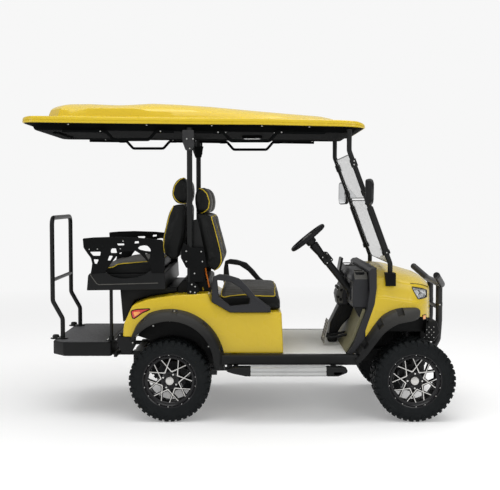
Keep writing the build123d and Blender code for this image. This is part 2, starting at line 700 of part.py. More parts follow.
# ---------------------------------------------------------------- seats
def front_seat_cushion():
    """Front bench cushion, the lid of the seat box, with its halves of the hinges."""
    x = REAR_AXLE_X
    low = SEAT_DECK_Z + FIT
    side = outline([
        (x + 330, SEAT_TOP_Z - 12), (x + 352, SEAT_TOP_Z + 11), (x + 735, SEAT_TOP_Z),
        (x + SEAT_FRONT_DX, SEAT_TOP_Z - 25), (x + SEAT_FRONT_DX, low), (x + 418, low), (x + 330, 803),
    ])
    drop = SEAT_TOP_Z + 11 - SEAT_CROWN
    ends = outline([
        (-SEAT_HALF, low), (SEAT_HALF, low), (SEAT_HALF, drop), (SEAT_HALF - 90, SEAT_TOP_Z + 11),
        (-SEAT_HALF + 90, SEAT_TOP_Z + 11), (-SEAT_HALF, drop),
    ])
    lid = across(side, SEAT_HALF) & slab_x(ends, x + 330, x + SEAT_FRONT_DX)
    lid -= seat_hinges(HINGE_R + FIT, HINGE_FIXED[0] - FIT, HINGE_FIXED[1] + FIT / 2)
    return lid + seat_hinges(HINGE_R, *HINGE_MOVING)


def seat_pair(back, head, post_x, post_z):
    """Two seat backs side by side, each with its headrest on two posts."""
    whole = None
    for y in (-BACK_Y, BACK_Y):
        seat = slab_y(outline(rear(back), 14), y - BACK_WIDTH / 2, y + BACK_WIDTH / 2)
        seat += slab_y(outline(rear(head), 14), y - HEAD_WIDTH / 2, y + HEAD_WIDTH / 2)
        for side in (-60, 60):
            x = REAR_AXLE_X + post_x
            seat += rod((x, y + side, post_z - 30), (x, y + side, post_z + 60), 6)
        whole = seat if whole is None else whole + seat
    return whole


def front_seat_backs():
    """Seat backs of the front bench."""
    return seat_pair(FRONT_BACK, FRONT_HEAD, 235, 1400)


def rear_seat_backs():
    """Seat backs of the rear-facing bench."""
    return seat_pair(REAR_BACK, REAR_HEAD, 75, 1482)


def strut_brackets():
    """Plates that carry the seat backs and roof posts, with their feet and roof gussets."""
    y0 = STRUT_Y - STRUT_R - PLATE
    y1 = STRUT_Y - STRUT_R - FIT
    plate = slab_y(outline(rear([
        (92, 1223), (129, 1186), (225, 1189), (259, 1052), (236, 1047), (236, 930), (190, 874),
        (110, 874), (118, 940), (134, 1041), (108, 1052), (72, 1121),
    ])), y0, y1)
    gusset = slab_y(outline(rear([(95, 1960), (180, 1960), (160, 1850), (118, 1850)])), y0, y1)
    gusset -= liner_form()
    # cross bars behind both pairs of seat backs
    x = REAR_AXLE_X
    bar = block(x + 150, x + 180, -y0, y0, 1120, 1160)
    arms = [(150, 275, 1100, 1140), (50, 180, 1150, 1190)]
    for y in (-BACK_Y, BACK_Y):
        for x_start, x_end, z_low, z_high in arms:
            for side in (-110, 80):
                bar += block(x + x_start, x + x_end, y + side, y + side + 30, z_low, z_high)
    bar -= front_seat_backs()
    bar -= rear_seat_backs()
    bar = max(bar.solids(), key=lambda solid: solid.volume)
    x = FRONT_AXLE_X
    foot = block(x - 199, x - 130, POST_Y - 24, BODY_HALF + 15, 925, POST_FOOT_Z)
    return pair(plate) + bar + pair(gusset) + pair(foot - cowl_form(0))


def roof_struts():
    """Windshield posts and the two upright posts behind the seats."""
    top_x = FRONT_AXLE_X + POST_HIGH_DX
    foot_x = FRONT_AXLE_X + POST_LOW_DX
    top_z = LINER_FRONT_Z + 30
    post = tube([
        (top_x, POST_Y, top_z), (top_x, POST_Y, POST_HIGH_Z),
        (foot_x, POST_Y, POST_LOW_Z), (foot_x, POST_Y, POST_FOOT_Z),
    ], POST_R, 50)
    x = REAR_AXLE_X + STRUT_DX
    strut = rod((x, STRUT_Y, 862), (x, STRUT_Y, top_z), STRUT_R)
    bars = (post - liner_form()) + (strut - liner_form() - rear_body_form(0))
    return pair(bars)


def rear_seat_base():
    """Moulded base of the rear seat with the storage box below it."""
    low = REAR_BASE_Z
    base = across(outline(rear([
        (-567, low), (-555, low + REAR_BASE_HEIGHT - 2), (-32, low + REAR_BASE_HEIGHT + 18), (-28, low + 3),
    ])), BODY_HALF)
    box = across(outline(rear([(-366, 648), (-366, low + 3), (38, low + 3), (38, 790), (-250, 648)])), 400)
    box -= rear_body_form(0)
    return base + max(box.solids(), key=lambda solid: solid.volume)


def rear_seat_cushion():
    """Cushion of the rear-facing bench."""
    side = outline(rear([(-520, 990), (-440, 1060), (-160, 1092), (-70, 1085), (-70, 1005)]))
    cushion = across(side, SEAT_HALF)
    return cushion - rear_seat_base()


def rear_armrests():
    """Side frames of the rear seat, with their cut-outs."""
    frame_face = outline(rear([
        (-591, 1249), (-526, 1256), (-400, 1261), (-224, 1256), (-44, 1238), (-30, 1100), (-32, 1018),
        (-555, 1000), (-532, 1017), (-528, 1085), (-538, 1116), (-587, 1189),
    ]))
    cuts = [
        # the large opening beside the cushion
        [(-438, 1026), (-410, 1071), (-383, 1098), (-349, 1144), (-333, 1116), (-252, 1139),
         (-234, 1164), (-196, 1139), (-149, 1094), (-138, 1031), (-289, 1018)],
        # two in the rear lobe
        [(-547, 1159), (-470, 1159), (-473, 1132), (-525, 1132)],
        [(-522, 1110), (-484, 1110), (-493, 1076), (-512, 1076)],
        # two slots under the top rail
        [(-359, 1216), (-299, 1216), (-305, 1202), (-351, 1202)],
        [(-238, 1231), (-204, 1231), (-206, 1216), (-240, 1216)],
        # three over the large opening and one behind it
        [(-396, 1182), (-355, 1182), (-351, 1157), (-403, 1150)],
        [(-416, 1130), (-389, 1130), (-405, 1101), (-426, 1101)],
        [(-218, 1182), (-188, 1200), (-148, 1198), (-128, 1162)],
    ]
    half = ARM_THICK / 2
    frame = slab_y(frame_face, BODY_HALF - half, BODY_HALF + half)
    for cut in cuts:
        frame -= slab_y(outline(rear(cut)), BODY_HALF - half - 1, BODY_HALF + half + 1)
    frame -= rear_seat_base()
    return pair(frame)


def hip_restraints():
    """Loops at the sides of the front bench."""
    loop = outline(rear([
        (288, 930), (299, 990), (335, 1005), (386, 998), (453, 973), (513, 916), (560, 850), (681, 775),
        (681, SEAT_DECK_Z), (412, SEAT_DECK_Z), (283, 818),
    ]))
    hole = outline(rear([
        (324, 967), (338, 967), (408, 950), (465, 905), (520, 830), (414, 786), (336, 853),
    ]), 6)
    y0 = BODY_HALF - ARM_THICK / 2
    arm = slab_y(loop, y0, y0 + LOOP_THICK) - slab_y(hole, y0 - 1, y0 + LOOP_THICK + 1)
    return pair(arm - rear_body_form(0))


# ---------------------------------------------------------------- rear step
def step_plan(inset):
    """The foot step seen from above, or the same drawn in by a wall."""
    x1 = REAR_AXLE_X + STEP_FRONT_DX - inset
    x0 = REAR_AXLE_X + STEP_FRONT_DX - STEP_DEPTH + inset
    half = STEP_HALF - inset
    cut = STEP_CUT - inset / 2
    return outline([
        (x1, half), (x0 + cut, half), (x0, half - cut), (x0, -half + cut), (x0 + cut, -half), (x1, -half),
    ])


def rear_step():
    """Foot step behind the tail: a moulded tray with cut rear corners, open below."""
    low = STEP_TOP - STEP_HEIGHT
    return slab_z(step_plan(0), low, STEP_TOP) - slab_z(step_plan(PANEL), low - 1, STEP_TOP - 8)


def step_frame():
    """Tubes that carry the step, from the chassis and down from the seat base."""
    x1 = REAR_AXLE_X + STEP_FRONT_DX
    z = STEP_TOP - 8 - 18
    arm_z = STEP_TOP - STEP_HEIGHT - 16 - FIT
    arm_y = RAIL_Y - 15
    stay_y = STEP_HALF - 70
    arm = rod((REAR_AXLE_X + RAIL_END_DX, arm_y, arm_z), (x1 - STEP_DEPTH + 60, arm_y, arm_z), 16)
    arm += block(x1 - 300, x1 - 270, arm_y - 16, arm_y + 16, arm_z, STEP_TOP - 8)
    stay = rod((x1 + 18, stay_y, z), (x1 + 18, stay_y, REAR_BASE_Z), 12)
    stay += block(x1 + 6, x1 + 30, arm_y - 16, stay_y + 12, z - 10, z + 14)
    stay += block(x1 + 6, x1 + 30, arm_y - 16, arm_y + 16, arm_z, z)
    return pair(arm + stay)


def grab_bar():
    """Hoop on the rear step, with a cross bar."""
    x = REAR_AXLE_X - 785
    back = x - 69
    y = GRAB_Y
    top = GRAB_TOP_Z
    foot = STEP_TOP + FIT
    hoop = tube([
        (x, -y, foot), (x, -y, 670), (back, -y, 795), (back, -y, top),
        (back, y, top), (back, y, 795), (x, y, 670), (x, y, foot),
    ], GRAB_R, 55)
    hoop += rod((back, -y, 943), (back, y, 943), GRAB_R - 3)
    for side in (-y, y):
        hoop += Pos(x, side, foot + 4) * Cylinder(36, 8)
    return hoop


def bull_bar():
    """Nose guard: two uprights, two cross bars and a top rail bent back at its ends."""
    foot_x = FRONT_AXLE_X + 128
    x = FRONT_AXLE_X + 254
    top = BULLBAR_TOP_Z
    guard = tube([
        (x - 76, -427, top + 80), (x, -250, top), (x, 250, top), (x - 76, 427, top + 80),
    ], BULLBAR_R, 80)
    for y in (-BULLBAR_Y, BULLBAR_Y):
        guard += tube([
            (foot_x, y, RAIL_TOP - 45), (foot_x + 62, y, RAIL_TOP - 45), (x - 6, y, 500), (x + 2, y, 640),
            (x, y, top - 8),
        ], BULLBAR_R, 30)
    for z in (620, 760):
        guard += rod((x + 1, -BULLBAR_Y, z), (x + 1, BULLBAR_Y, z), BULLBAR_R - 4)
    return guard


# ---------------------------------------------------------------- glass and roof
def windshield():
    """Two panes between the posts, one above the other."""
    top = Vector(FRONT_AXLE_X + POST_HIGH_DX, 0, POST_HIGH_Z)
    low = Vector(FRONT_AXLE_X + POST_LOW_DX, 0, POST_LOW_Z)
    rise = top - low
    up = rise.normalized()
    out = Vector(up.Z, 0, -up.X) * (PANE / 2)
    panes = None
    # share of the post's straight run: start, end
    for start, end in ((0.0, 0.565), (0.58, 0.975)):
        a = low + rise * start
        b = low + rise * end
        corners = [a - out, a + out, b + out, b - out]
        pane = across(outline([(c.X, c.Z) for c in corners]), POST_Y - POST_R - FIT)
        panes = pane if panes is None else panes + pane
    return panes


def roof_plan(inset, low, high):
    """The roof seen from above, a little narrower in front, between two heights."""
    x0 = ROOF_REAR_X + inset
    x1 = ROOF_FRONT_X - inset
    half = ROOF_HALF - inset
    corners = [(x0, -half), (x1, 25 - half), (x1, half - 25), (x0, half)]
    return slab_z(outline(corners, 110 - inset), low, high)


def roof_form(inset):
    """The roof's band and raised crown, or the same form drawn in by a wall."""
    x0, x1 = ROOF_REAR_X, ROOF_FRONT_X
    z0, z1 = ROOF_REAR_Z, ROOF_FRONT_Z
    lip = ROOF_LIP - inset
    band = outline([(x0, z0), (x1, z1), (x1, z1 + lip), (x0, z0 + lip)])
    low = across(band, ROOF_HALF + 10) & roof_plan(inset, z1, z0 + ROOF_LIP)
    crest = z0 + ROOF_CREST - inset
    crown = outline([
        (x0 + 150 + inset, z0 + 30), (x0 + 190 + inset, crest - 32), (x0 + 280, crest - 8),
        (x0 + 850, crest), (x1 - 674, crest - 64), (x1 - 215, crest - 98), (x1 - 178 - inset, z1 + 30),
    ])
    half = ROOF_HALF - 90 - inset
    slope = [(half + 20, z1 - 10), (half, z0 + 70), (half - 60, z0 + 90), (200, crest)]
    slope = slope + [(-y, z) for y, z in reversed(slope)]
    high = across(crown, ROOF_HALF) & slab_x(outline(slope), x0, x1)
    return low + high


def roof_shell():
    """Moulded roof, a shell open below."""
    return roof_form(0) - Pos(0, 0, -0.01) * roof_form(ROOF_WALL)


def liner_bowl(inset):
    """The shallow bowl of the roof's underside, or the same drawn in by a wall."""
    x0 = ROOF_REAR_X + 78 + inset
    x1 = ROOF_FRONT_X - 30 - inset
    z0 = ROOF_REAR_Z - LINER_SEAM
    z1 = ROOF_FRONT_Z - LINER_SEAM
    high = ROOF_REAR_Z + 60
    half = ROOF_HALF - 20 - inset
    bowl = outline([
        (x0, high), (x0, z0), (x0 + 317 - inset, LINER_REAR_Z + inset),
        (x1 - 120 + inset, LINER_FRONT_Z + inset), (x1, z1), (x1, high),
    ])
    hull = [(half, high), (half, z1 - 7), (half - 55, LINER_REAR_Z - 30)]
    hull = hull + [(-y, z) for y, z in reversed(hull)]
    return across(bowl, half) & slab_x(outline(hull), x0 - 1, x1 + 1)


def liner_form():
    """The outer form of the liner below the roof."""
    x0, x1 = ROOF_REAR_X, ROOF_FRONT_X
    z0, z1 = ROOF_REAR_Z, ROOF_FRONT_Z
    sheet = outline([(x0, z0 - LINER_SEAM), (x1, z1 - LINER_SEAM), (x1, z1), (x0, z0)])
    below = outline([(x0, LINER_REAR_Z - 80), (x1, LINER_REAR_Z - 80), (x1, z1), (x0, z0)])
    form = across(sheet, ROOF_HALF + 10) & roof_plan(2, z1 - 20, z0 + 20)
    return form + (liner_bowl(0) & across(below, ROOF_HALF))


def roof_liner():
    """Liner below the roof, with four grab handles."""
    liner = liner_form() - liner_bowl(ROOF_WALL)
    handles = [
        # rear end, length
        (ROOF_REAR_X + 700, 330.0),
        (ROOF_REAR_X + 1400, 260.0),
    ]
    y = ROOF_HALF - 60
    top = LINER_REAR_Z + 30
    low = LINER_REAR_Z - 68
    for x, long in handles:
        grip = tube([(x, y, top), (x + 25, y, low), (x + long - 25, y, low), (x + long, y, top)], 9, 30)
        liner += pair(grip)
    return liner


def mirrors():
    """Door mirrors on short arms from the windshield posts."""
    z = 1570
    share = (z - POST_LOW_Z) / (POST_HIGH_Z - POST_LOW_Z)
    x = FRONT_AXLE_X + POST_LOW_DX + (POST_HIGH_DX - POST_LOW_DX) * share
    y = BODY_HALF + 40
    face = outline([(y, z - 85), (y + 75, z - 75), (y + 80, z + 70), (y + 5, z + 85)], 18)
    head = slab_x(face, x - 22, x + 22)
    head += rod((x, y + 10, z), (x, POST_Y + POST_R + FIT, z), 8)
    return pair(head)


# ---------------------------------------------------------------- nodes
NODES = {
    "chassis_frame": chassis_frame,
    "front_suspension": front_suspension,
    "rear_axle": rear_axle,
    "springs": springs,
    "battery": battery,
    "floor_pan": floor_pan,
    "fender_flares": fender_flares,
    "side_sills": side_sills,
    "side_steps": side_steps,
    "rear_body": rear_body,
    "tail_lights": tail_lights,
    "tail_caps": tail_caps,
    "front_cowl": front_cowl,
    "headlights": headlights,
    "cowl_trim": cowl_trim,
    "firewall": firewall,
    "dashboard": dashboard,
    "pedals": pedals,
    "steering_column": steering_column,
    "steering_wheel": steering_wheel,
    "front_seat_cushion": front_seat_cushion,
    "front_seat_backs": front_seat_backs,
    "rear_seat_backs": rear_seat_backs,
    "strut_brackets": strut_brackets,
    "roof_struts": roof_struts,
    "rear_seat_base": rear_seat_base,
    "rear_seat_cushion": rear_seat_cushion,
    "rear_armrests": rear_armrests,
    "hip_restraints": hip_restraints,
    "rear_step": rear_step,
    "step_frame": step_frame,
    "grab_bar": grab_bar,
    "bull_bar": bull_bar,
    "windshield": windshield,
    "roof_shell": roof_shell,
    "roof_liner": roof_liner,
    "mirrors": mirrors,
}

os.makedirs("parts", exist_ok=True)
for name, make in NODES.items():
    export_step(make(), f"parts/{name}.step")
for side_name, side in (("left", 1), ("right", -1)):
    export_step(knuckle(side), f"parts/knuckle_{side_name}.step")
    for end_name, x in (("front", FRONT_AXLE_X), ("rear", REAR_AXLE_X)):
        export_step(tyre(x, side), f"parts/tyre_{end_name}_{side_name}.step")
        export_step(rim(x, side), f"parts/rim_{end_name}_{side_name}.step")
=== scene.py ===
"""Looks of the electric utility vehicle: moulded panels, padded seats, wheels, lamps and
small parts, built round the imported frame. Sizes below are millimetres in the frame's axes."""

import math

import bmesh
import bpy
import numpy as np
from mathutils import Matrix, Vector
from mathutils.bvhtree import BVHTree


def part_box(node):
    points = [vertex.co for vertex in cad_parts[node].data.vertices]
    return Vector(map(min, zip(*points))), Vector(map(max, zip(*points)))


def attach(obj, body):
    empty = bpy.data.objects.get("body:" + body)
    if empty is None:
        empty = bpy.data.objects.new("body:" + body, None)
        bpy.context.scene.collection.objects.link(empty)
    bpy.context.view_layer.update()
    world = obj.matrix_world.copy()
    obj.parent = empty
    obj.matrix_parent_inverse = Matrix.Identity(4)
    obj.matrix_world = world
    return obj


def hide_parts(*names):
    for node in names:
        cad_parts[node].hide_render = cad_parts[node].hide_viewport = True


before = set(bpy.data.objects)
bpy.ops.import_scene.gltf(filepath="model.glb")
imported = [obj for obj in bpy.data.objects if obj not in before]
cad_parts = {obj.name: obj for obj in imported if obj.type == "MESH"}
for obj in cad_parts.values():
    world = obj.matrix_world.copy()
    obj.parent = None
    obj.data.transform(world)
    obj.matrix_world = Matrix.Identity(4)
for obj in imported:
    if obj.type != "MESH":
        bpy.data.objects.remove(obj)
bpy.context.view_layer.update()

MM = 0.001


# ---- places taken from the frame
def span(node):
    """Lowest and highest corner of a frame node, in millimetres."""
    low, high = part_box(node)
    return low / MM, high / MM


tyre_low, tyre_high = span("tyre_front_left")
rear_low, rear_high = span("tyre_rear_left")
roof_low, roof_high = span("roof_shell")
FRONT_X = (tyre_low.x + tyre_high.x) / 2
REAR_X = (rear_low.x + rear_high.x) / 2
AXLE_Z = (tyre_low.z + tyre_high.z) / 2
TRACK = (tyre_low.y + tyre_high.y) / 2
SIDE = span("rear_body")[1].y


def front(points):
    """Points whose X is given from the front axle. What follows the X stays as it is."""
    return [(FRONT_X + p[0],) + tuple(p[1:]) for p in points]


def rear(points):
    """Points whose X is given from the rear axle."""
    return [(REAR_X + p[0],) + tuple(p[1:]) for p in points]


# ---- finishes
class Nodes:
    """Something that adds nodes to its own tree."""

    def node(self, kind, output, inputs=(), **settings):
        """Adds a node and gives one of its outputs. An input is a value or another output."""
        made = self.nodes.new(kind)
        for key, value in settings.items():
            setattr(made, key, value)
        for key, value in dict(inputs).items():
            if isinstance(value, bpy.types.NodeSocket):
                self.links.new(value, made.inputs[key])
            else:
                made.inputs[key].default_value = value
        return made.outputs[output]


class Finish(Nodes):
    """One material: a shader with the patterns that drive its colour, gloss and relief."""

    def __init__(self, name, colour, roughness, **sockets):
        self.material = bpy.data.materials.new(name)
        self.material.use_nodes = True
        self.nodes = self.material.node_tree.nodes
        self.links = self.material.node_tree.links
        self.shader = self.nodes["Principled BSDF"]
        self.colour = (*colour, 1.0)
        self.shader.inputs["Base Color"].default_value = self.colour
        self.shader.inputs["Roughness"].default_value = roughness
        for socket, value in sockets.items():
            self.shader.inputs[socket.replace("_", " ")].default_value = value
        self.place = self.node("ShaderNodeTexCoord", "Object")
        self.relief = None

    def stretched(self, scale):
        """The object's own coordinates, stretched."""
        return self.node("ShaderNodeMapping", "Vector", {"Vector": self.place, "Scale": scale})

    def noise(self, scale, detail=3.0, place=None):
        return self.node("ShaderNodeTexNoise", "Fac", {"Vector": place or self.place, "Scale": scale,
                                                       "Detail": detail})

    def cells(self, scale, feature="F1"):
        return self.node("ShaderNodeTexVoronoi", "Distance", {"Vector": self.place, "Scale": scale},
                         feature=feature)

    def waves(self, scale, direction):
        return self.node("ShaderNodeTexWave", "Fac", {"Vector": self.place, "Scale": scale},
                         bands_direction=direction)

    def levels(self, source, low, high, out_low=0.0, out_high=1.0):
        """Stretches a pattern between two levels."""
        return self.node("ShaderNodeMapRange", "Result", {
            "Value": source, "From Min": low, "From Max": high, "To Min": out_low, "To Max": out_high})

    def tint(self, pattern, other):
        """Mixes another colour in where the pattern is high."""
        base = self.shader.inputs["Base Color"]
        under = base.links[0].from_socket if base.is_linked else self.colour
        mixed = self.node("ShaderNodeMix", "Result", {"Factor": pattern, "A": under, "B": (*other, 1.0)},
                          data_type="RGBA")
        self.links.new(mixed, base)

    def mottle(self, scale, low, high, most, other, detail=3.0):
        """Patches of another colour."""
        self.tint(self.levels(self.noise(scale, detail), low, high, 0.0, most), other)

    def gloss(self, pattern, low, high):
        """Roughness that follows a pattern."""
        self.links.new(self.levels(pattern, 0.0, 1.0, low, high), self.shader.inputs["Roughness"])

    def bump(self, pattern, depth, strength=1.0):
        """Relief of a given depth in millimetres, added to what is there. Gives the material."""
        inputs = {"Height": pattern, "Distance": depth * MM, "Strength": strength}
        if self.relief:
            inputs["Normal"] = self.relief
        self.relief = self.node("ShaderNodeBump", "Normal", inputs)
        self.links.new(self.relief, self.shader.inputs["Normal"])
        return self.material


def body_paint():
    f = Finish("body_paint_yellow", (0.645, 0.46, 0.014), 0.3, Specular_IOR_Level=0.35, Coat_Weight=0.35,
               Coat_Roughness=0.1)
    f.mottle(3.0, 0.4, 0.75, 0.22, (0.60, 0.42, 0.010))
    f.gloss(f.noise(7.0, 2.0), 0.24, 0.31)
    return f.bump(f.noise(160.0, 1.0), 0.012, 0.2)


def grained(f, low, high):
    """Gives a moulding its fine leather-like grain."""
    f.gloss(f.noise(30.0, 4.0), low, high)
    f.bump(f.cells(900.0), 0.12, 0.35)
    return f.bump(f.noise(55.0, 2.0), 0.5, 0.12)


def lighter(colour, times):
    return tuple(c * times + 0.001 for c in colour)


def moulded_plastic(name, colour, low, high, shine=0.22):
    """Black, grey or coloured moulding."""
    f = Finish(name, colour, high, Specular_IOR_Level=shine)
    f.mottle(9.0, 0.42, 0.8, 0.4, lighter(colour, 1.5))
    return grained(f, low, high)


def flare_plastic():
    """Black low down and greyer higher up: painted light, the upper faces lighter where the light from above
    falls on them.
    """
    f = Finish("flare_dark_moulding", (0.0085, 0.0088, 0.009), 0.52, Specular_IOR_Level=0.18)
    height = f.node("ShaderNodeSeparateXYZ", "Z", {"Vector": f.place})
    # Painted light: the upper part of the flare is tinted lighter where light from above falls on it.
    f.tint(f.levels(height, 0.56, 0.75), (0.042, 0.041, 0.038))
    return grained(f, 0.42, 0.56)


def powder_coat(name, colour, roughness):
    """Painted steel with the fine speckle of powder coat."""
    f = Finish(name, colour, roughness, Specular_IOR_Level=0.22)
    f.mottle(24.0, 0.5, 0.8, 0.5, lighter(colour, 1.6))
    f.gloss(f.noise(60.0, 3.0), roughness - 0.07, roughness + 0.08)
    return f.bump(f.noise(1400.0, 2.0), 0.06, 0.4)


def bare_metal(name, colour, roughness, grain=(1, 1, 1)):
    """Metal with a drawn or cast grain."""
    f = Finish(name, colour, roughness, Metallic=1.0)
    brushed = f.noise(260.0, 4.0, f.stretched(grain))
    f.gloss(brushed, roughness - 0.08, roughness + 0.12)
    f.mottle(12.0, 0.45, 0.8, 0.35, tuple(c * 0.75 for c in colour))
    return f.bump(brushed, 0.05, 0.25)


def leather(name, colour, roughness=0.42):
    """Leather with pebble grain, fine creases and a soft sheen."""
    f = Finish(name, colour, roughness, Specular_IOR_Level=0.15, Sheen_Weight=0.02, Sheen_Roughness=0.4)
    pebbles = f.cells(520.0)
    f.mottle(16.0, 0.4, 0.75, 0.55, lighter(colour, 1.5), 5.0)
    f.gloss(f.noise(40.0, 5.0), roughness - 0.06, roughness + 0.12)
    f.bump(pebbles, 0.28, 0.55)
    return f.bump(f.noise(45.0, 6.0), 0.9, 0.2)


def tyre_rubber():
    f = Finish("tyre_rubber", (0.0065, 0.0078, 0.0085), 0.66, Specular_IOR_Level=0.13)
    f.mottle(20.0, 0.45, 0.8, 0.45, (0.014, 0.016, 0.017), 5.0)
    f.gloss(f.noise(70.0, 4.0), 0.5, 0.72)
    return f.bump(f.noise(700.0, 3.0), 0.2, 0.4)


def rim_paint():
    f = Finish("rim_gloss_black", (0.006, 0.006, 0.007), 0.18, Specular_IOR_Level=0.3)
    f.gloss(f.noise(30.0), 0.13, 0.26)
    return f.bump(f.noise(500.0), 0.03, 0.3)


def ribbed_mat():
    """Rubber floor mat with fine ribs that run fore and aft, painted shade darkening the grooves between
    them.
    """
    f = Finish("floor_mat_grey", (0.92, 0.925, 0.90), 0.66, Specular_IOR_Level=0.3)
    ribs = f.waves(14.0, "Y")
    # Painted shade: the grooves between the ribs are tinted darker.
    f.tint(f.levels(ribs, 0.0, 0.45, 0.6, 0.0), (0.52, 0.523, 0.51))
    f.mottle(7.0, 0.45, 0.8, 0.25, (0.72, 0.71, 0.68), 5.0)
    f.bump(ribs, 1.6, 0.8)
    return f.bump(f.noise(600.0), 0.1, 0.4)


def tread_mat():
    """Anti-slip mat of the foot step."""
    f = Finish("step_mat_grey", (0.075, 0.076, 0.08), 0.7)
    studs = f.cells(95.0, "SMOOTH_F1")
    f.tint(f.levels(studs, 0.2, 0.55, 0.6, 0.0), (0.13, 0.13, 0.135))
    f.gloss(f.noise(40.0), 0.55, 0.8)
    return f.bump(studs, 1.6, 0.9)


def clear_glass(name, colour, roughness, weight):
    f = Finish(name, colour, roughness, Transmission_Weight=weight, IOR=1.45)
    f.gloss(f.noise(6.0, 4.0), roughness, roughness + 0.05)
    return f.material


def lamp_lens(name, colour, other):
    """Ribbed lamp lens, the crests of its ribs painted lighter as painted light coming through the lens."""
    f = Finish(name, colour, 0.08, Coat_Weight=1.0, Coat_Roughness=0.03)
    # Painted highlight: the crests of the ribs are tinted a lighter colour.
    f.tint(f.levels(f.waves(60.0, "Z"), 0.3, 0.9), other)
    f.gloss(f.noise(25.0), 0.06, 0.16)
    return f.bump(f.waves(60.0, "Z"), 0.8, 0.5)


YELLOW = body_paint()
TRIM = moulded_plastic("trim_black_moulding", (0.0072, 0.0076, 0.0078), 0.38, 0.52, 0.18)
FLARE = flare_plastic()
PLATE_BLACK = moulded_plastic("plate_satin_black", (0.0028, 0.0031, 0.0033), 0.5, 0.66, 0.1)
DASH = moulded_plastic("dash_dark_moulding", (0.022, 0.0225, 0.025), 0.42, 0.56)
# Olive brown for the firewall: the body's yellow darkened as painted shade, standing for yellow seen in deep
# shade there.
FIREWALL_PAINTED_SHADE = moulded_plastic("kick_panel_moulding", (0.19, 0.178, 0.105), 0.45, 0.6)
LINER = moulded_plastic("liner_black_moulding", (0.0038, 0.0042, 0.0043), 0.72, 0.86, 0.015)
STEEL = powder_coat("frame_powder_coat", (0.007, 0.0075, 0.0075), 0.38)
GUNMETAL = powder_coat("bar_gunmetal_coat", (0.030, 0.030, 0.031), 0.36)
CAST = bare_metal("cast_grey_metal", (0.07, 0.07, 0.072), 0.5)
DAMPER = powder_coat("spring_coat", (0.014, 0.014, 0.015), 0.36)
COIL = powder_coat("spring_wire_coat", (0.02, 0.02, 0.021), 0.34)
ZINC = bare_metal("bolt_zinc", (0.72, 0.72, 0.70), 0.28)
MACHINED = bare_metal("rim_machined_face", (0.62, 0.61, 0.59), 0.26, (1, 0.1, 1))
BRIGHT = bare_metal("step_anodised", (0.49, 0.495, 0.49), 0.36, (0.05, 1, 1))
LAMP_SILVER = bare_metal("lamp_reflector", (0.80, 0.80, 0.79), 0.2)
PEDAL = bare_metal("pedal_grey_metal", (0.30, 0.295, 0.28), 0.46)
BATTERY = moulded_plastic("battery_case_moulding", (0.03, 0.031, 0.034), 0.4, 0.55)
HIDE = leather("seat_leather_black", (0.0055, 0.0060, 0.0058))
QUILT = leather("seat_leather_quilted", (0.058, 0.055, 0.048), 0.46)
PIPING = leather("seat_piping_yellow", (0.60, 0.44, 0.03), 0.5)
GRIP = leather("grip_black", (0.009, 0.009, 0.010), 0.46)
RUBBER = tyre_rubber()
RIM = rim_paint()
MAT = ribbed_mat()
TREAD = tread_mat()
GLASS = clear_glass("screen_glass", (0.55, 0.56, 0.55), 0.02, 0.9)
CLEAR = clear_glass("lamp_glass", (0.93, 0.94, 0.95), 0.03, 0.95)
MIRROR = bare_metal("mirror_glass", (0.80, 0.81, 0.82), 0.10)
RED = lamp_lens("tail_lens_red", (0.50, 0.008, 0.006), (0.78, 0.03, 0.02))
AMBER = lamp_lens("tail_lens_amber", (0.95, 0.30, 0.04), (1.0, 0.48, 0.12))
SCREEN = moulded_plastic("display_dark", (0.030, 0.031, 0.030), 0.3, 0.38, 0.1)
CONSOLE_GREY = moulded_plastic("console_grey_moulding", (0.085, 0.083, 0.075), 0.4, 0.55)
STITCH_GREY = leather("rim_stitch_grey", (0.16, 0.16, 0.155), 0.5)
ORANGE = moulded_plastic("cable_sleeve_orange", (0.85, 0.22, 0.02), 0.4, 0.55)


# ---- making meshes
def placed(name, data):
    """New object in the scene."""
    made = bpy.data.objects.new(name, data)
    bpy.context.scene.collection.objects.link(made)
    return made


def shape_of(made):
    """The mesh that an object has once its modifiers have run."""
    graph = bpy.context.evaluated_depsgraph_get()
    graph.update()
    return bpy.data.meshes.new_from_object(made.evaluated_get(graph))


def add_mesh(name, points, faces, material):
    """New object from points in millimetres and faces."""
    mesh = bpy.data.meshes.new(name)
    mesh.from_pydata([Vector(p) * MM for p in points], [], faces)
    mesh.materials.append(material)
    return placed(name, mesh)


MERGE = 0.02 * MM          # points closer than this become one
SLIVER = 0.005 * MM        # edges shorter than this go


def tidy(made, angle=32.0, outward=True):
    """Merges doubles, turns the faces outwards and keeps only real edges sharp."""
    work = bmesh.new()
    work.from_mesh(made.data)
    bmesh.ops.remove_doubles(work, verts=work.verts, dist=MERGE)
    bmesh.ops.dissolve_degenerate(work, edges=work.edges, dist=SLIVER)
    if outward:
        bmesh.ops.recalc_face_normals(work, faces=work.faces)
    limit = math.radians(angle)
    for face in work.faces:
        face.smooth = True
    for edge in work.edges:
        edge.smooth = len(edge.link_faces) == 2 and edge.calc_face_angle(0.0) < limit
    work.to_mesh(made.data)
    work.free()
    return made


def applied(made, kind, **settings):
    """Adds a modifier and turns the result into a plain mesh."""
    added = made.modifiers.new(kind, kind)
    for key, value in settings.items():
        setattr(added, key, value)
    mesh = shape_of(made)
    made.modifiers.clear()
    made.data = mesh
    return made


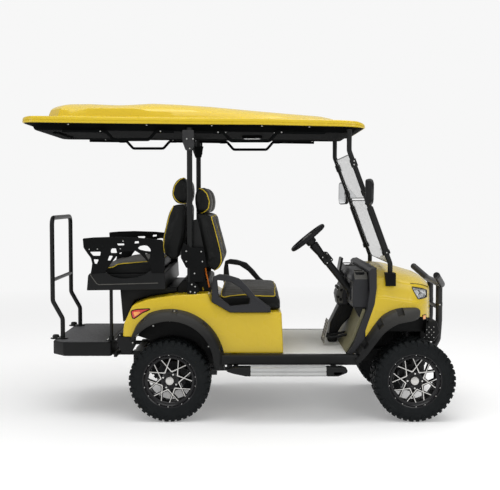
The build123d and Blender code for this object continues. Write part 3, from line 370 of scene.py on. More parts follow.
def joined(name, parts):
    """One object out of several, each keeping its own materials."""
    work = bmesh.new()
    materials = []
    for part in parts:
        first = len(work.faces)
        work.from_mesh(part.data)
        work.faces.ensure_lookup_table()
        own = list(part.data.materials)
        for material in own:
            if material not in materials:
                materials.append(material)
        for face in work.faces[first:]:
            face.material_index = materials.index(own[min(face.material_index, len(own) - 1)])
    mesh = bpy.data.meshes.new(name)
    work.to_mesh(mesh)
    work.free()
    for material in materials:
        mesh.materials.append(material)
    for part in parts:
        bpy.data.objects.remove(part)
    return placed(name, mesh)


def mirrored(mesh):
    """Moves a mesh to the other side of the vehicle."""
    mesh.transform(Matrix.Scale(-1, 4, (0, 1, 0)))
    mesh.flip_normals()
    return mesh


def other_side(made, name):
    """The same piece on the other side of the vehicle."""
    return placed(name, mirrored(made.data.copy()))


def both_sides(made):
    """The piece and its twin as one object."""
    return joined(made.name, [made, other_side(made, made.name + "_twin")])


def fitted(made, slot, *nodes, body="root"):
    """Hangs a finished piece on its body and hides the frame nodes it stands for. The slot is not used."""
    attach(made, body)
    if nodes:
        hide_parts(*nodes)
    return made


def arc(before, here, after, reach, steps, most=0.48):
    """The bend that replaces a corner. It starts and ends at most `reach` away from the corner."""
    before, after = before - here, after - here
    cut = min(reach, before.length * most, after.length * most)
    start = here + before.normalized() * cut
    end = here + after.normalized() * cut
    shares = [step / steps for step in range(steps + 1)]
    return [start * (1 - t) ** 2 + here * 2 * t * (1 - t) + end * t * t for t in shares]


def rounded(points, radius, steps=4, closed=True):
    """Corners replaced by arcs. A closed outline is flat, an open line has three numbers to a
    point, and a point may carry a radius of its own after them."""
    made = []
    count = len(points)
    width = 2 if closed else 3
    for k, point in enumerate(points):
        own = point[width] if len(point) > width else radius
        here = Vector(point[:width]).to_3d()
        if (not closed and k in (0, count - 1)) or own <= 0:
            made.append(here[:width])
            continue
        before = Vector(points[k - 1][:width]).to_3d()
        after = Vector(points[(k + 1) % count][:width]).to_3d()
        turn = (before - here).angle(after - here, math.pi)
        if turn > math.pi - 0.02:
            made.append(here[:width])
            continue
        made += [p[:width] for p in arc(before, here, after, own / math.tan(turn / 2), steps)]
    return made


PLANES = {
    "side": Matrix(((1, 0, 0), (0, 0, -1), (0, 1, 0))),
    "plan": Matrix.Identity(3),
    "end": Matrix(((0, 0, 1), (1, 0, 0), (0, 1, 0))),
}


def plate(name, loops, low, high, edge, material, plane="side", steps=2):
    """Flat moulding cut to closed outlines, its edges rounded. The first loop is the outside."""
    curve = bpy.data.curves.new(name, "CURVE")
    curve.dimensions = "2D"
    curve.fill_mode = "BOTH"
    curve.extrude = max((high - low) / 2 - edge, 0.01) * MM
    curve.bevel_depth = edge * MM
    curve.offset = -edge * MM
    curve.bevel_resolution = steps
    for loop in loops:
        spline = curve.splines.new("POLY")
        spline.points.add(len(loop) - 1)
        for point, place in zip(spline.points, loop):
            point.co = (place[0] * MM, place[1] * MM, 0, 1)
        spline.use_cyclic_u = True
    source = placed(name + "_outline", curve)
    mesh = shape_of(source)
    bpy.data.objects.remove(source)
    middle = (low + high) / 2 * MM
    turn = PLANES[plane].to_4x4()
    mesh.transform(turn @ Matrix.Translation((0, 0, middle if plane != "side" else -middle)))
    mesh.materials.clear()
    mesh.materials.append(material)
    return tidy(placed(name, mesh))


def skin(name, rings, material, closed=True, caps=(True, True)):
    """Surface through rings that have the same number of points."""
    width = len(rings[0])
    faces = []
    for row in range(len(rings) - 1):
        for k in range(width if closed else width - 1):
            a = row * width + k
            b = row * width + (k + 1) % width
            faces.append((a, b, b + width, a + width))
    if caps[0]:
        faces.append(tuple(range(width - 1, -1, -1)))
    if caps[1]:
        last = (len(rings) - 1) * width
        faces.append(tuple(range(last, last + width)))
    return add_mesh(name, [p for ring in rings for p in ring], faces, material)


def tube(name, points, radius, bend, material, sides=16):
    """Round bar bent along straight runs, through points in millimetres."""
    path = [Vector(p) for p in rounded(points, bend, 6, False)]
    up = Vector((0, 1, 0))
    rings = []
    for k, place in enumerate(path):
        along = (path[min(k + 1, len(path) - 1)] - path[max(k - 1, 0)]).normalized()
        across = up - along * up.dot(along)
        if across.length < 0.1:
            across = Vector((1, 0, 0)) - along * along.x
        up = across.normalized()
        third = along.cross(up)
        turn = [2 * math.pi * s / sides for s in range(sides)]
        rings.append([place + (up * math.cos(a) + third * math.sin(a)) * radius for a in turn])
    return tidy(skin(name, rings, material), 50)


def turned(name, section, place, material, axis="Y", sides=48):
    """Turned part: a section of (distance along the axis, radius) swung round it. A section
    that starts and ends on the axis is left open, and any other one is closed."""
    rings = []
    for s in range(sides):
        a = 2 * math.pi * s / sides
        ring = []
        for along, radius in section:
            u, v = radius * math.cos(a), radius * math.sin(a)
            spot = {"Y": (u, along, v), "Z": (u, v, along)}[axis]
            ring.append(Vector(spot) + Vector(place))
        rings.append(ring)
    rings.append(rings[0])
    closed = section[0][1] > 0 or section[-1][1] > 0
    return tidy(skin(name, rings, material, closed, (False, False)))


def bar(name, start, end, width, depth, material, edge=2.0, up=(0, 0, 1)):
    """Straight bar of a rectangular section with rounded edges."""
    start, end = Vector(start), Vector(end)
    along = (end - start).normalized()
    side = along.cross(Vector(up)).normalized()
    top = side.cross(along).normalized()
    w, d = width / 2, depth / 2
    corners = rounded([(-w, -d), (w, -d), (w, d), (-w, d)], edge, 2)
    rings = []
    for place, inset in ((start, edge), (start + along * edge, 0), (end - along * edge, 0), (end, edge)):
        grow = ((w - inset) / w, (d - inset) / d)
        rings.append([place + side * c[0] * grow[0] + top * c[1] * grow[1] for c in corners])
    return tidy(skin(name, rings, material))


def oblong(x0, x1, y0, y1, radius, steps=4):
    """Rectangle with rounded corners."""
    return rounded([(x0, y0), (x1, y0), (x1, y1), (x0, y1)], radius, steps)


def block(name, low, high, edge, material):
    """Moulded block between two corners, with rounded edges."""
    loop = oblong(low[0], high[0], low[1], high[1], edge * 1.5, 3)
    return plate(name, [loop], low[2], high[2], edge, material, "plan")


def carved(made, *cutters):
    """Takes closed cutters out of a closed piece."""
    for cutter in cutters:
        applied(made, "BOOLEAN", object=cutter, operation="DIFFERENCE", solver="EXACT")
        bpy.data.objects.remove(cutter)
    return tidy(made, outward=False)


def between(table, place):
    """Value read off a table of (place, value) pairs."""
    return float(np.interp(place, [row[0] for row in table], [row[1] for row in table]))


# ---- geometry node trees
class Tree(Nodes):
    """A geometry node tree with named inputs, ended by real geometry and one material."""

    def __init__(self, name, **inputs):
        self.group = bpy.data.node_groups.new(name, "GeometryNodeTree")
        self.nodes, self.links = self.group.nodes, self.group.links
        kinds = {float: "Float", int: "Int", tuple: "Vector"}
        self.socket("Geometry", "Geometry")
        for label, value in inputs.items():
            self.socket(label.replace("_", " "), kinds[type(value)]).default_value = value
        self.socket("Material", "Material")
        self.socket("Geometry", "Geometry", "OUTPUT")
        self.given = self.nodes.new("NodeGroupInput").outputs

    def socket(self, label, kind, way="INPUT"):
        return self.group.interface.new_socket(label, in_out=way, socket_type="NodeSocket" + kind)

    def attribute(self, name, kind="FLOAT_VECTOR"):
        return self.node("GeometryNodeInputNamedAttribute", "Attribute", {"Name": name}, data_type=kind)

    def math(self, operation, a, b):
        return self.node("ShaderNodeMath", "Value", {0: a, 1: b}, operation=operation)

    def aimed(self, way):
        """The turn that brings an upright piece in line with a vector."""
        return self.node("FunctionNodeAlignRotationToVector", "Rotation", {"Vector": way}, axis="Z")

    def edges(self):
        """The given object's edges as lines."""
        return self.node("GeometryNodeMeshToCurve", "Curve", {"Mesh": self.given["Geometry"]})

    def spread(self, points, piece, **more):
        """The piece on every point."""
        return self.node("GeometryNodeInstanceOnPoints", "Instances", {
            "Points": points, "Instance": piece, **more})

    def real(self, geometry):
        return self.node("GeometryNodeRealizeInstances", "Geometry", {"Geometry": geometry})

    def round_bar(self, line, radius, sides):
        """A smooth round bar along a line."""
        ring = self.node("GeometryNodeCurvePrimitiveCircle", "Curve", {"Resolution": sides, "Radius": radius})
        swept = self.node("GeometryNodeCurveToMesh", "Mesh", {
            "Curve": line, "Profile Curve": ring, "Fill Caps": True})
        return self.node("GeometryNodeSetShadeSmooth", "Geometry", {"Geometry": swept})

    def close(self, geometry):
        """Ends the tree."""
        painted = self.node("GeometryNodeSetMaterial", "Geometry", {
            "Geometry": self.real(geometry), "Material": self.given["Material"]})
        self.links.new(painted, self.nodes.new("NodeGroupOutput").inputs["Geometry"])
        return self.group


def grown(made, tree, material, **values):
    """Runs a tree on an object and keeps what it makes as a plain mesh."""
    added = made.modifiers.new("grown", "NODES")
    added.node_group = tree
    values["Material"] = material
    for item in tree.interface.items_tree:
        label = item.name.replace(" ", "_")
        if item.in_out == "INPUT" and label in values:
            added[item.identifier] = values[label]
    mesh = shape_of(made)
    made.modifiers.clear()
    made.data = mesh
    return made


def fastener_tree():
    """A domed head on every point, facing the way that the point's aim says."""
    t = Tree("fasteners", Head_Radius=0.006, Head_Height=0.004)
    head = t.node("GeometryNodeMeshCone", "Mesh", {
        "Vertices": 10, "Radius Top": t.math("MULTIPLY", t.given["Head Radius"], 0.62),
        "Radius Bottom": t.given["Head Radius"], "Depth": t.given["Head Height"]})
    return t.close(t.spread(t.given["Geometry"], head, Rotation=t.aimed(t.attribute("aim")),
                            Scale=t.attribute("size", "FLOAT")))


def wheel_tree():
    """The piece repeated round a wheel's axis, then moved to the wheel's middle."""
    t = Tree("round_the_axle", Count=8, Middle=(0.0, 0.0, 0.0))
    line = t.node("GeometryNodeMeshLine", "Mesh", {"Count": t.given["Count"], "Offset": (0, 0, 0)})
    step = t.math("DIVIDE", 2 * math.pi, t.given["Count"])
    angle = t.math("MULTIPLY", step, t.node("GeometryNodeInputIndex", "Index"))
    turn = t.node("ShaderNodeCombineXYZ", "Vector", {"Y": angle})
    rotation = t.node("FunctionNodeEulerToRotation", "Rotation", {"Euler": turn})
    ring = t.spread(line, t.given["Geometry"], Rotation=rotation)
    return t.close(t.node("GeometryNodeTransform", "Geometry", {
        "Geometry": ring, "Translation": t.given["Middle"]}))


def bead_tree():
    """A round bead along every edge, such as piping, a hose or a cable."""
    t = Tree("beads", Radius=0.003, Sides=8)
    return t.close(t.round_bar(t.edges(), t.given["Radius"], t.given["Sides"]))


def stitch_tree():
    """Short threads laid one after another along every edge."""
    t = Tree("stitches", Pitch=0.008, Thread=0.0012)
    spots = t.node("GeometryNodeResampleCurve", "Curve", {"Curve": t.edges(), "Length": t.given["Pitch"]},
                   mode="LENGTH")
    thread = t.node("GeometryNodeMeshCylinder", "Mesh", {
        "Vertices": 6, "Radius": t.given["Thread"], "Depth": t.math("MULTIPLY", t.given["Pitch"], 0.62)})
    along = t.aimed(t.node("GeometryNodeInputTangent", "Tangent"))
    return t.close(t.spread(spots, thread, Rotation=along))


def coil_tree():
    """A coil spring from every point, as long as the point's aim."""
    t = Tree("coil_springs", Coil_Radius=0.04, Wire=0.006, Turns=8.0)
    aim = t.attribute("aim")
    spiral = t.node("GeometryNodeCurveSpiral", "Curve", {
        "Resolution": 28, "Rotations": t.given["Turns"], "Start Radius": t.given["Coil Radius"],
        "End Radius": t.given["Coil Radius"], "Height": 1.0})
    long = t.node("ShaderNodeVectorMath", "Value", {0: aim}, operation="LENGTH")
    size = t.node("ShaderNodeCombineXYZ", "Vector", {"X": 1.0, "Y": 1.0, "Z": long})
    stood = t.spread(t.given["Geometry"], spiral, Rotation=t.aimed(aim), Scale=size)
    return t.close(t.round_bar(t.real(stood), t.given["Wire"], 8))


FASTENERS = fastener_tree()
ROUND_AXLE = wheel_tree()
BEADS = bead_tree()
STITCHES = stitch_tree()
COILS = coil_tree()


def marks(name, rows):
    """Points that a tree builds on: rows of (place, aim, size), places in millimetres."""
    mesh = bpy.data.meshes.new(name)
    mesh.from_pydata([Vector(row[0]) * MM for row in rows], [], [])
    aim = mesh.attributes.new("aim", "FLOAT_VECTOR", "POINT")
    aim.data.foreach_set("vector", [c for row in rows for c in row[1]])
    size = mesh.attributes.new("size", "FLOAT", "POINT")
    size.data.foreach_set("value", [float(row[2]) for row in rows])
    return placed(name, mesh)


def bolts(name, rows, radius=6.0, height=4.0, material=ZINC):
    """Bolt heads at rows of (place, aim) or (place, aim, size)."""
    rows = [tuple(row) + (1.0,) * (3 - len(row)) for row in rows]
    heads = grown(marks(name, rows), FASTENERS, material, Head_Radius=radius * MM, Head_Height=height * MM)
    return tidy(heads, 40, False)


def line_mesh(name, paths):
    """Edges through points in millimetres, for the trees that follow a line."""
    points, edges = [], []
    for path, closed in paths:
        first = len(points)
        points.extend(Vector(p) * MM for p in path)
        edges.extend((k, k + 1) for k in range(first, len(points) - 1))
        if closed:
            edges.append((len(points) - 1, first))
    mesh = bpy.data.meshes.new(name)
    mesh.from_pydata(points, edges, [])
    return placed(name, mesh)


def beads(name, lines, radius, material, sides=8, closed=False):
    """Round beads along lines of points."""
    return grown(line_mesh(name, [(line, closed) for line in lines]), BEADS, material, Radius=radius * MM,
                 Sides=sides)


# ---- roof
LIP_BOTTOM = [(roof_low.x, 2037), (-901, 2029), (-394, 2024.5), (-191, 2022.5), (123, 2021), (720, 2009),
              (roof_high.x, 2001)]
LIP_HEIGHT = [(roof_low.x, 38.0), (roof_low.x + 60, 44.0), (400, 43.0), (720, 44.0), (roof_high.x - 60, 41.0),
              (roof_high.x, 30.0)]
CROWN_SIDE = [(-1300, 2142), (-1218, 2142), (-1192, 2127), (-1100, 2127), (-1050, 2143), (-690, 2143),
              (-635, 2125), (-197, 2114), (124, 2096), (388, 2076), (700, 2062)]
CROWN_CREST = [(-1338, 2170), (-1300, 2182), (-1166, 2188), (-1037, 2188), (-900, 2181), (-822, 2179),
               (-740, 2183), (-607, 2193), (-435, 2186), (-205, 2171), (125, 2140), (397, 2117), (658, 2096),
               (700, 2090)]


def roof_ring(x0, x1, half0, half1, cut_x, cut_y, radius, height):
    """Eight-cornered ring seen from above, rounded, each point lifted by height(x)."""
    corners = [Vector(p) for p in (
        (x0, half0 - cut_y), (x0 + cut_x, half0), (x1 - cut_x, half1), (x1, half1 - cut_y),
        (x1, cut_y - half1), (x1 - cut_x, -half1), (x0 + cut_x, -half0), (x0, cut_y - half0))]
    bends = []
    for k, here in enumerate(corners):
        before, after = corners[k - 1], corners[(k + 1) % 8]
        turn = (before - here).angle(after - here)
        bends.append(arc(before, here, after, radius / math.tan(turn / 2), 5, 0.49))
    ring = []
    for k, count in enumerate((2, 30, 2, 10) * 2):
        start, goal = bends[k][-1], bends[(k + 1) % 8][0]
        ring += bends[k] + [start.lerp(goal, step / count) for step in range(1, count)]
    return [(p.x, p.y, height(p.x)) for p in ring]


def edge_ring(inset, height, least=0):
    """Ring that follows the roof's edge at an even distance."""
    half, cut = roof_high.y - inset, 64 - inset * 0.3
    return roof_ring(roof_low.x + inset, roof_high.x - inset, half, half - 25, cut, cut,
                     max(110 - inset, least), height)


def low_lip(x):
    return between(LIP_BOTTOM, x)


def roof_mould():
    """Moulded roof: a beaded lip, a shelf and a raised crown with a chamfered tail."""
    def lip(x):
        return low_lip(x) + between(LIP_HEIGHT, x)

    def side(x):
        return max(between(CROWN_SIDE, x), lip(x) + 14)

    rings = [edge_ring(16, lambda x: low_lip(x) + 3), edge_ring(4, low_lip),
             edge_ring(0, lambda x: low_lip(x) + 4)]
    for inset, share in ((0, 0.34), (2.6, 0.38), (2.6, 0.44), (0.6, 0.48)):       # the bead
        rings.append(edge_ring(inset, lambda x: low_lip(x) + (lip(x) - low_lip(x)) * share))
    for inset, rise in ((1.5, -12), (5, -4), (12, 0), (30, 2), (62, 5)):          # the lip's top
        rings.append(edge_ring(inset, lambda x: lip(x) + rise))
    # foot of the crown, the line along its side, its shoulder and the way in to the middle
    c0, c1 = roof_low.x + 150, roof_high.x - 182
    for in0, in1, half0, half1, cut_x, cut_y, radius, height in (
            (-10, -12, 494, 470, 100, 124, 36, lambda x: lip(x) + 7),
            (0, 0, 484, 458, 100, 124, 30, lambda x: lip(x) + 12),
            (18, 10, 473, 447, 96, 120, 26, lambda x: side(x) - 5),
            (22, 14, 469, 443, 95, 119, 24, side)):
        rings.append(roof_ring(c0 + in0, c1 - in1, half0, half1, cut_x, cut_y, radius, height))
    for inset, share in ((30, 0.40), (72, 0.76), (110, 0.93), (150, 1.0)):
        rings.append(roof_ring(
            c0 + 22 + inset * 0.24, c1 - 14 - inset * 0.22, 469 - inset * 1.4, 443 - inset * 1.4, 92, 116, 40,
            lambda x: side(x) + (max(between(CROWN_CREST, x), side(x)) - side(x)) * share))
    top = rings[-1]
    rings += [[(x, y * (1 - share), z + 0.6 * share * (2 - share)) for x, y, z in top]
              for share in (0.3, 0.65, 1.0)]
    made = tidy(skin("roof_moulding", rings, YELLOW, caps=(False, False)), 24)
    applied(made, "SOLIDIFY", thickness=4 * MM, offset=-1.0)
    fitted(tidy(made, 21, False), "body_yellow", "roof_shell")


roof_mould()


# ---- front cowl
# Lines of the cowl, as (from the front axle, value): top, lower edge, half width, crease along
# the bonnet and line below it. COWL_REAR is its rear edge, as (height, from the front axle).
COWL_TOP = [(-259, 1049), (-142, 1042), (-34, 1018), (71, 987), (110, 968), (140, 942), (158, 900),
            (172, 850), (180, 800), (183, 765)]
COWL_BOTTOM = [(-337, 609), (-286, 609), (-268, 575), (120, 569), (146, 575), (160, 640), (173, 700),
               (181, 745), (183, 764)]
COWL_PLAN = [(-340, 560), (-20, 557), (20, 548), (50, 531), (82, 500), (110, 458), (132, 402), (148, 340),
             (160, 275), (172, 190), (179, 125), (182, 70), (183, 12)]
COWL_CREASE = [(-261, 980), (-184, 969), (-119, 957), (-31, 944), (72, 926), (140, 900), (183, 790)]
COWL_LINE = [(-263, 850), (-121, 832), (70, 810), (140, 792), (183, 768)]
COWL_REAR = [(569, -331), (608, -337), (799, -271), (917, -257), (1052, -259)]
COWL_STATIONS = [-337 + 277 * k / 12 for k in range(12)] + [-60 + 90 * k / 8 for k in range(8)] + [
    30, 45, 60, 74, 88, 100, 111, 121, 130, 138, 145, 152, 158, 164, 169, 173, 176.5, 179.5, 181.6, 183]
COWL_SLANT = -60           # behind this station the sections lean to meet the rear edge
HEADLAMP = [(-16, 919), (60, 905), (104, 888), (107, 838), (70, 833), (29, 830)]
FRONT_WELL, REAR_WELL = (FRONT_X, 370), (REAR_X, 392)      # middles of the wheel wells, as (X, Z)


def cowl_section(dx):
    """Half a section across the cowl: (side, height) from the lower edge up to the middle."""
    top = between(COWL_TOP, dx)
    crease = min(between(COWL_CREASE, dx), top - 6)
    line = min(between(COWL_LINE, dx), crease - 4)
    width = between(COWL_PLAN, dx)
    lean = width / 560
    corners = [
        (width, between(COWL_BOTTOM, dx), 4), (width, line - 9, 6), (width - 9 * lean, line + 5, 8),
        (width - 26 * lean, crease - 10, 12), (width - 44 * lean, crease + 6, 14),
        (width - 150 * lean, crease + (top - crease) * 0.62, 60),
        (width * 0.42, top - (top - crease) * 0.1, 60), (0.0, top + 0.5, 0)]
    spots = [Vector(c[:2]) for c in corners]
    runs = [[tuple(p) for p in arc(*spots[k - 1:k + 2], corners[k][2], 4, 0.45)]
            for k in range(1, len(spots) - 1)]
    runs = [[corners[0][:2]], *runs, [corners[-1][:2]]]
    made = []
    for run, ahead, parts in zip(runs[:-1], runs[1:], (6, 1, 2, 1, 2, 3, 5)):
        made += run
        made += [tuple(Vector(run[-1]).lerp(Vector(ahead[0]), k / parts)) for k in range(1, parts)]
    return made + runs[-1]


def wheel_wells(well, radius, inner, width):
    """Cutters for the openings over a pair of wheels."""
    return [turned("wheel_well", [(0, 0), (0, radius), (side * width, radius), (side * width, 0)],
                   (well[0], side * inner, well[1]), TRIM, sides=96) for side in (-1, 1)]


def lamp_holes(outline, middle, reach):
    """Cutters for a pair of lamps."""
    return [plate("lamp_hole", [outline], side * middle - reach, side * middle + reach, 0.5, TRIM)
            for side in (-1, 1)]


def cowl_mould():
    """Bonnet, sides and nose in one moulding, with a crease along the bonnet and a line below it."""
    start, slanted = COWL_STATIONS[0], COWL_SLANT - COWL_STATIONS[0]
    rings = []
    for dx in COWL_STATIONS:
        ring = []
        for y, z in cowl_section(max(dx, COWL_TOP[0][0])):
            edge = between(COWL_REAR, z)
            place = edge + (dx - start) * (COWL_SLANT - edge) / slanted if dx < COWL_SLANT else dx
            ring.append((FRONT_X + place, y, z))
        rings.append(ring + [(x, -y, z) for x, y, z in reversed(ring[:-1])])
    made = tidy(skin("cowl_moulding", rings, YELLOW, False, (False, True)), 40)
    made.data.materials.append(TRIM)
    applied(made, "SOLIDIFY", thickness=4.5 * MM, offset=-1.0, material_offset=1)
    opening = oblong(-300, 300, 812, 872, 14)
    slot = plate("nose_slot", [opening], FRONT_X + 130, FRONT_X + 230, 0.5, TRIM, "end")
    made = carved(made, *wheel_wells(FRONT_WELL, 345, 300, 280),
                  *lamp_holes(rounded(front(HEADLAMP), 12), 475, 100), slot)
    fitted(made, "body_yellow", "front_cowl")


cowl_mould()


# ---- rear body
# Outlines here and below are (from an axle, height), with a corner radius as third number.
REAR_PROFILE = [
    (-327, 574, 16), (-314, 671, 40), (-256, 796, 60), (-160, 832, 60), (-85, 846, 60), (45, 862, 60),
    (262, 874, 18), (283, 820, 20), (412, 746, 30), (763, 746, 16), (776, 460, 16), (168, 460, 16),
    (168, 574, 6)]
REAR_UNDERSIDE = [(-316, 560), (173.5, 560), (173.5, 440), (764, 440), (764, 470), (180, 470), (180, 584),
                  (-316, 584)]
TAIL_LAMP = [(-270, 746), (-262, 760), (-224, 769), (-137, 773), (-133, 761), (-187, 737), (-243, 697),
             (-260, 702)]


def grown_outline(points, amount):
    """A closed outline drawn in (negative) or out by an even amount."""
    count = len(points)
    area = sum(points[k - 1][0] * points[k][1] - points[k][0] * points[k - 1][1] for k in range(count))
    turn = 1 if area > 0 else -1
    made = []
    for k in range(count):
        here = Vector(points[k][:2])
        a = (here - Vector(points[k - 1][:2])).normalized()
        b = (Vector(points[(k + 1) % count][:2]) - here).normalized()
        away, other = Vector((a.y, -a.x)) * turn, Vector((b.y, -b.x)) * turn
        middle = (away + other).normalized()
        made.append(tuple(here + middle * amount / max(middle.dot(away), 0.4)))
    return made


def rear_mould():
    """Seat box, wheel housings and tail in one hollow moulding with rounded edges."""
    wall = 6
    made = plate("rear_moulding", [rounded(rear(REAR_PROFILE), 10)], -SIDE, SIDE, 12, YELLOW, steps=3)
    hollow = plate("hollow", [grown_outline(rear(REAR_PROFILE), -wall)], wall - SIDE, SIDE - wall, 1, TRIM)
    wells, lamps = wheel_wells(REAR_WELL, 298, 360, 300), lamp_holes(rounded(rear(TAIL_LAMP), 8), 540, 50)
    under = plate("underside", [rear(REAR_UNDERSIDE)], 8 - SIDE, SIDE - 8, 1, TRIM)
    made = carved(made, hollow, wells[0], lamps[0], wells[1], lamps[1], under)
    fitted(made, "body_yellow", "rear_body")


rear_mould()


# ---- flares over the wheels
FLARE_REACH = 79.0         # how far a flare stands out from the body
FLARE_SECTION = [(0.0, 0.0), (0.02, 0.20), (0.07, 0.42), (0.16, 0.66), (0.30, 0.86), (0.46, 0.965),
                 (0.62, 1.0), (0.86, 0.985), (0.97, 0.93), (1.0, 0.84), (0.985, 0.55), (0.97, 0.0)]


def flare(name, outer, inner, pockets, ends, notch):
    """Moulded flare between two lines seen from the side, with bolt pockets cut in its outer edge.
    Pockets, ends and notch are shares of the flare's length."""
    shares = sorted(set([k / 44 for k in range(45)] + [
        p + notch * d for p in pockets for d in (-1.16, -1.0, 1.0, 1.16)]))

    def along(line, share):
        lengths = [0.0]
        for a, b in zip(line[:-1], line[1:]):
            lengths.append(lengths[-1] + (Vector(b) - Vector(a)).length)
        return Vector([between(list(zip(lengths, row)), share * lengths[-1]) for row in zip(*line)])

    deep = notch * 13.5
    pocket = [FLARE_SECTION[0], (deep * 0.5, 0.05), (deep * 0.86, 0.10), (deep * 0.95, 0.16), (deep, 0.50),
              (deep + 0.02, 0.82 + 0.14 * deep / 0.45), *FLARE_SECTION[6:]]
    rings = []
    for share in shares:
        a, b = along(outer, share), along(inner, share)
        fade = min(1.0, share / ends[0], (1 - share) / ends[1])
        out = (0.35 + 0.65 * math.sin(fade * math.pi / 2)) * FLARE_REACH
        cut = any(abs(share - p) < notch * 1.05 for p in pockets)
        spots = [(a.lerp(b, depth), height) for depth, height in (pocket if cut else FLARE_SECTION)]
        rings.append([(spot.x, SIDE + out * height, spot.y) for spot, height in spots])
    return tidy(skin(name, rings, FLARE), 38)


def arc_line(centre, radius, start, end, steps=40):
    """Points round an arc seen from the side, angles counted from straight ahead."""
    turns = [math.radians(start + (end - start) * k / steps) for k in range(steps + 1)]
    return [(centre[0] + radius * math.cos(a), centre[1] + radius * math.sin(a)) for a in turns]


def smooth_line(points, steps=10):
    """A line through points, rounded by a spline."""
    made = []
    spots = [points[0]] + list(points) + [points[-1]]
    for k in range(1, len(spots) - 2):
        p0, p1, p2, p3 = [Vector(spot) for spot in spots[k - 1:k + 3]]
        for step in range(steps):
            t = step / steps
            made.append(tuple(0.5 * ((2 * p1) + (p2 - p0) * t + (2 * p0 - 5 * p1 + 4 * p2 - p3) * t * t
                                     + (3 * p1 - p0 - 3 * p2 + p3) * t ** 3)))
    made.append(tuple(points[-1]))
    return made


def flares():
    """The four flares, each with a bolt in every pocket."""
    rear_lines = (
        arc_line(REAR_WELL, 376, -7, 112) + smooth_line(rear([
            (-150, 737), (-183, 705), (-222, 667), (-247, 620), (-262, 584), (-271, 552)])),
        arc_line(REAR_WELL, 299, -7, 148))
    front_lines = (
        smooth_line(front([(-431, 446), (-347, 554), (-246, 695), (-187, 744), (-118, 771), (-50, 777),
                           (16, 776), (38, 762)])),
        smooth_line(front([(-392, 398), (-332, 458), (-270, 538), (-208, 614), (-133, 665), (-71, 682),
                           (-3, 694), (34, 716)])))
    made, heads = [], []
    for name, lines, pockets, ends, notch, deep in (
            ("rear_flare", rear_lines, (0.15, 0.36, 0.59, 0.82), (0.08, 0.2), 0.016, 0.10),
            ("front_flare", front_lines, (0.05, 0.21, 0.49, 0.76), (0.01, 0.22), 0.034, 0.22)):
        made.append(flare(name, *lines, pockets, ends, notch))
        for share in pockets:
            a, b = [Vector(line[int(share * (len(line) - 1))]) for line in lines]
            spot = a.lerp(b, deep)
            heads.append(((spot.x, SIDE + 6, spot.y), (0, 1, 0), 0.6 + deep * 1.8))
    screws = bolts("flare_bolts", heads, 9, 9)
    fitted(both_sides(joined("flare_mouldings", made)), "trim_black", "fender_flares")
    fitted(both_sides(screws), "frame_black")


flares()


# ---- sills and side steps
def sills():
    """Moulded sills between the flares."""
    x0, x1 = REAR_X + 352, FRONT_X - 392
    section = rounded([(560, 391), (612, 391), (620, 400), (620, 446), (612, 458), (600, 460),
                       (560, 460)], 6, 3)
    rings = [[(x, y, z) for y, z in section] for x in (x0, x0 + 1, x1 - 1, x1)]
    fitted(both_sides(tidy(skin("sill_moulding", rings, TRIM))), "trim_black", "side_sills")


sills()


def side_step():
    """Side steps: a drawn aluminium board with grooves between two moulded ends, on two arms."""
    top, low = 388.0, 327.0
    inner, outer = 600.0, 690.0
    x0, x1 = REAR_X + 551, FRONT_X - 610
    section = [(inner, low + 6), (inner + 6, low), (outer - 12, low), (outer - 2, low + 8), (outer, low + 14),
               (outer, low + 29), (outer - 4, low + 31), (outer - 4, low + 35), (outer, low + 37),
               (outer, low + 50), (outer - 3, top - 4), (outer - 9, top)]
    for k in range(6):
        y = outer - 16 - k * 11
        section += [(y, top), (y - 2, top - 2.5), (y - 4, top - 2.5), (y - 6, top)]
    section += [(inner + 4, top), (inner, top - 4)]
    parts = [tidy(skin("step_board", [[(x, y, z) for y, z in section] for x in (x0, x1)], BRIGHT), 20)]
    nose = [(x1 - 4, low), (x1 + 80, low), (FRONT_X - 469, low + 24), (FRONT_X - 466, top - 16),
            (FRONT_X - 500, top), (x1 - 4, top)]
    tail = [(x0 + 4, top), (REAR_X + 430, top - 1), (REAR_X + 396, top - 15), (REAR_X + 394, low + 30),
            (REAR_X + 440, low + 16), (REAR_X + 520, low), (x0 + 4, low)]
    for name, loop, radius in (("step_front_end", nose, 16), ("step_rear_end", tail, 12)):
        parts.append(plate(name, [rounded(loop, radius, 6)], inner, outer, 9, TRIM, steps=3))
    lens = rounded([(x1 + 52, low + 8), (FRONT_X - 492, low + 18), (FRONT_X - 500, low + 30),
                    (x1 + 48, low + 30)], 6)
    parts.append(plate("step_reflector", [lens], outer - 2, outer, 0.6, GUNMETAL))
    for x in (REAR_X + 448, FRONT_X - 542):
        parts.append(bar("step_arm", (x, 262, 357), (x, 640, 357), 34, 20, STEEL, 3))
    fitted(both_sides(joined("side_step", parts)), "step_aluminium", "side_steps")


side_step()


# ---- wheels
TREAD_R = 270.0            # radius at the feet of the tread blocks
PITCHES = 20               # repeats of the tread round the tyre
SPOKE_FACE = 86.0          # from the wheel's middle out to the machined faces
SPOKE_START, SPOKE_END = 62.0, 163.0       # radii that a spoke runs between
SPOKE_SPREAD = 35.5        # degrees that a spoke leans to either side
NUT_CIRCLE, RING_BOLT_CIRCLE = 50, 178     # radii on which the heads stand
TYRE_SECTION = [
    (-94, 181), (-104, 181), (-108, 188), (-111, 196), (-114, 202), (-117, 212), (-118.2, 222), (-117.2, 225),
    (-118.6, 228), (-118.6, 238), (-117.4, 252), (-114, 263), (-106, 268.6), (-88, 270), (-50, 270.4),
    (0, 270.6)]
RIM_SECTION = [
    (-106, 172), (-106, 189.5), (-101, 190), (-97, 179), (-60, 177.8), (60, 177.8), (97, 179), (101, 190),
    (106, 189.5), (107, 184), (104, 178), (96, 174), (92, 170), (88, 166), (-60, 166), (-100, 168)]
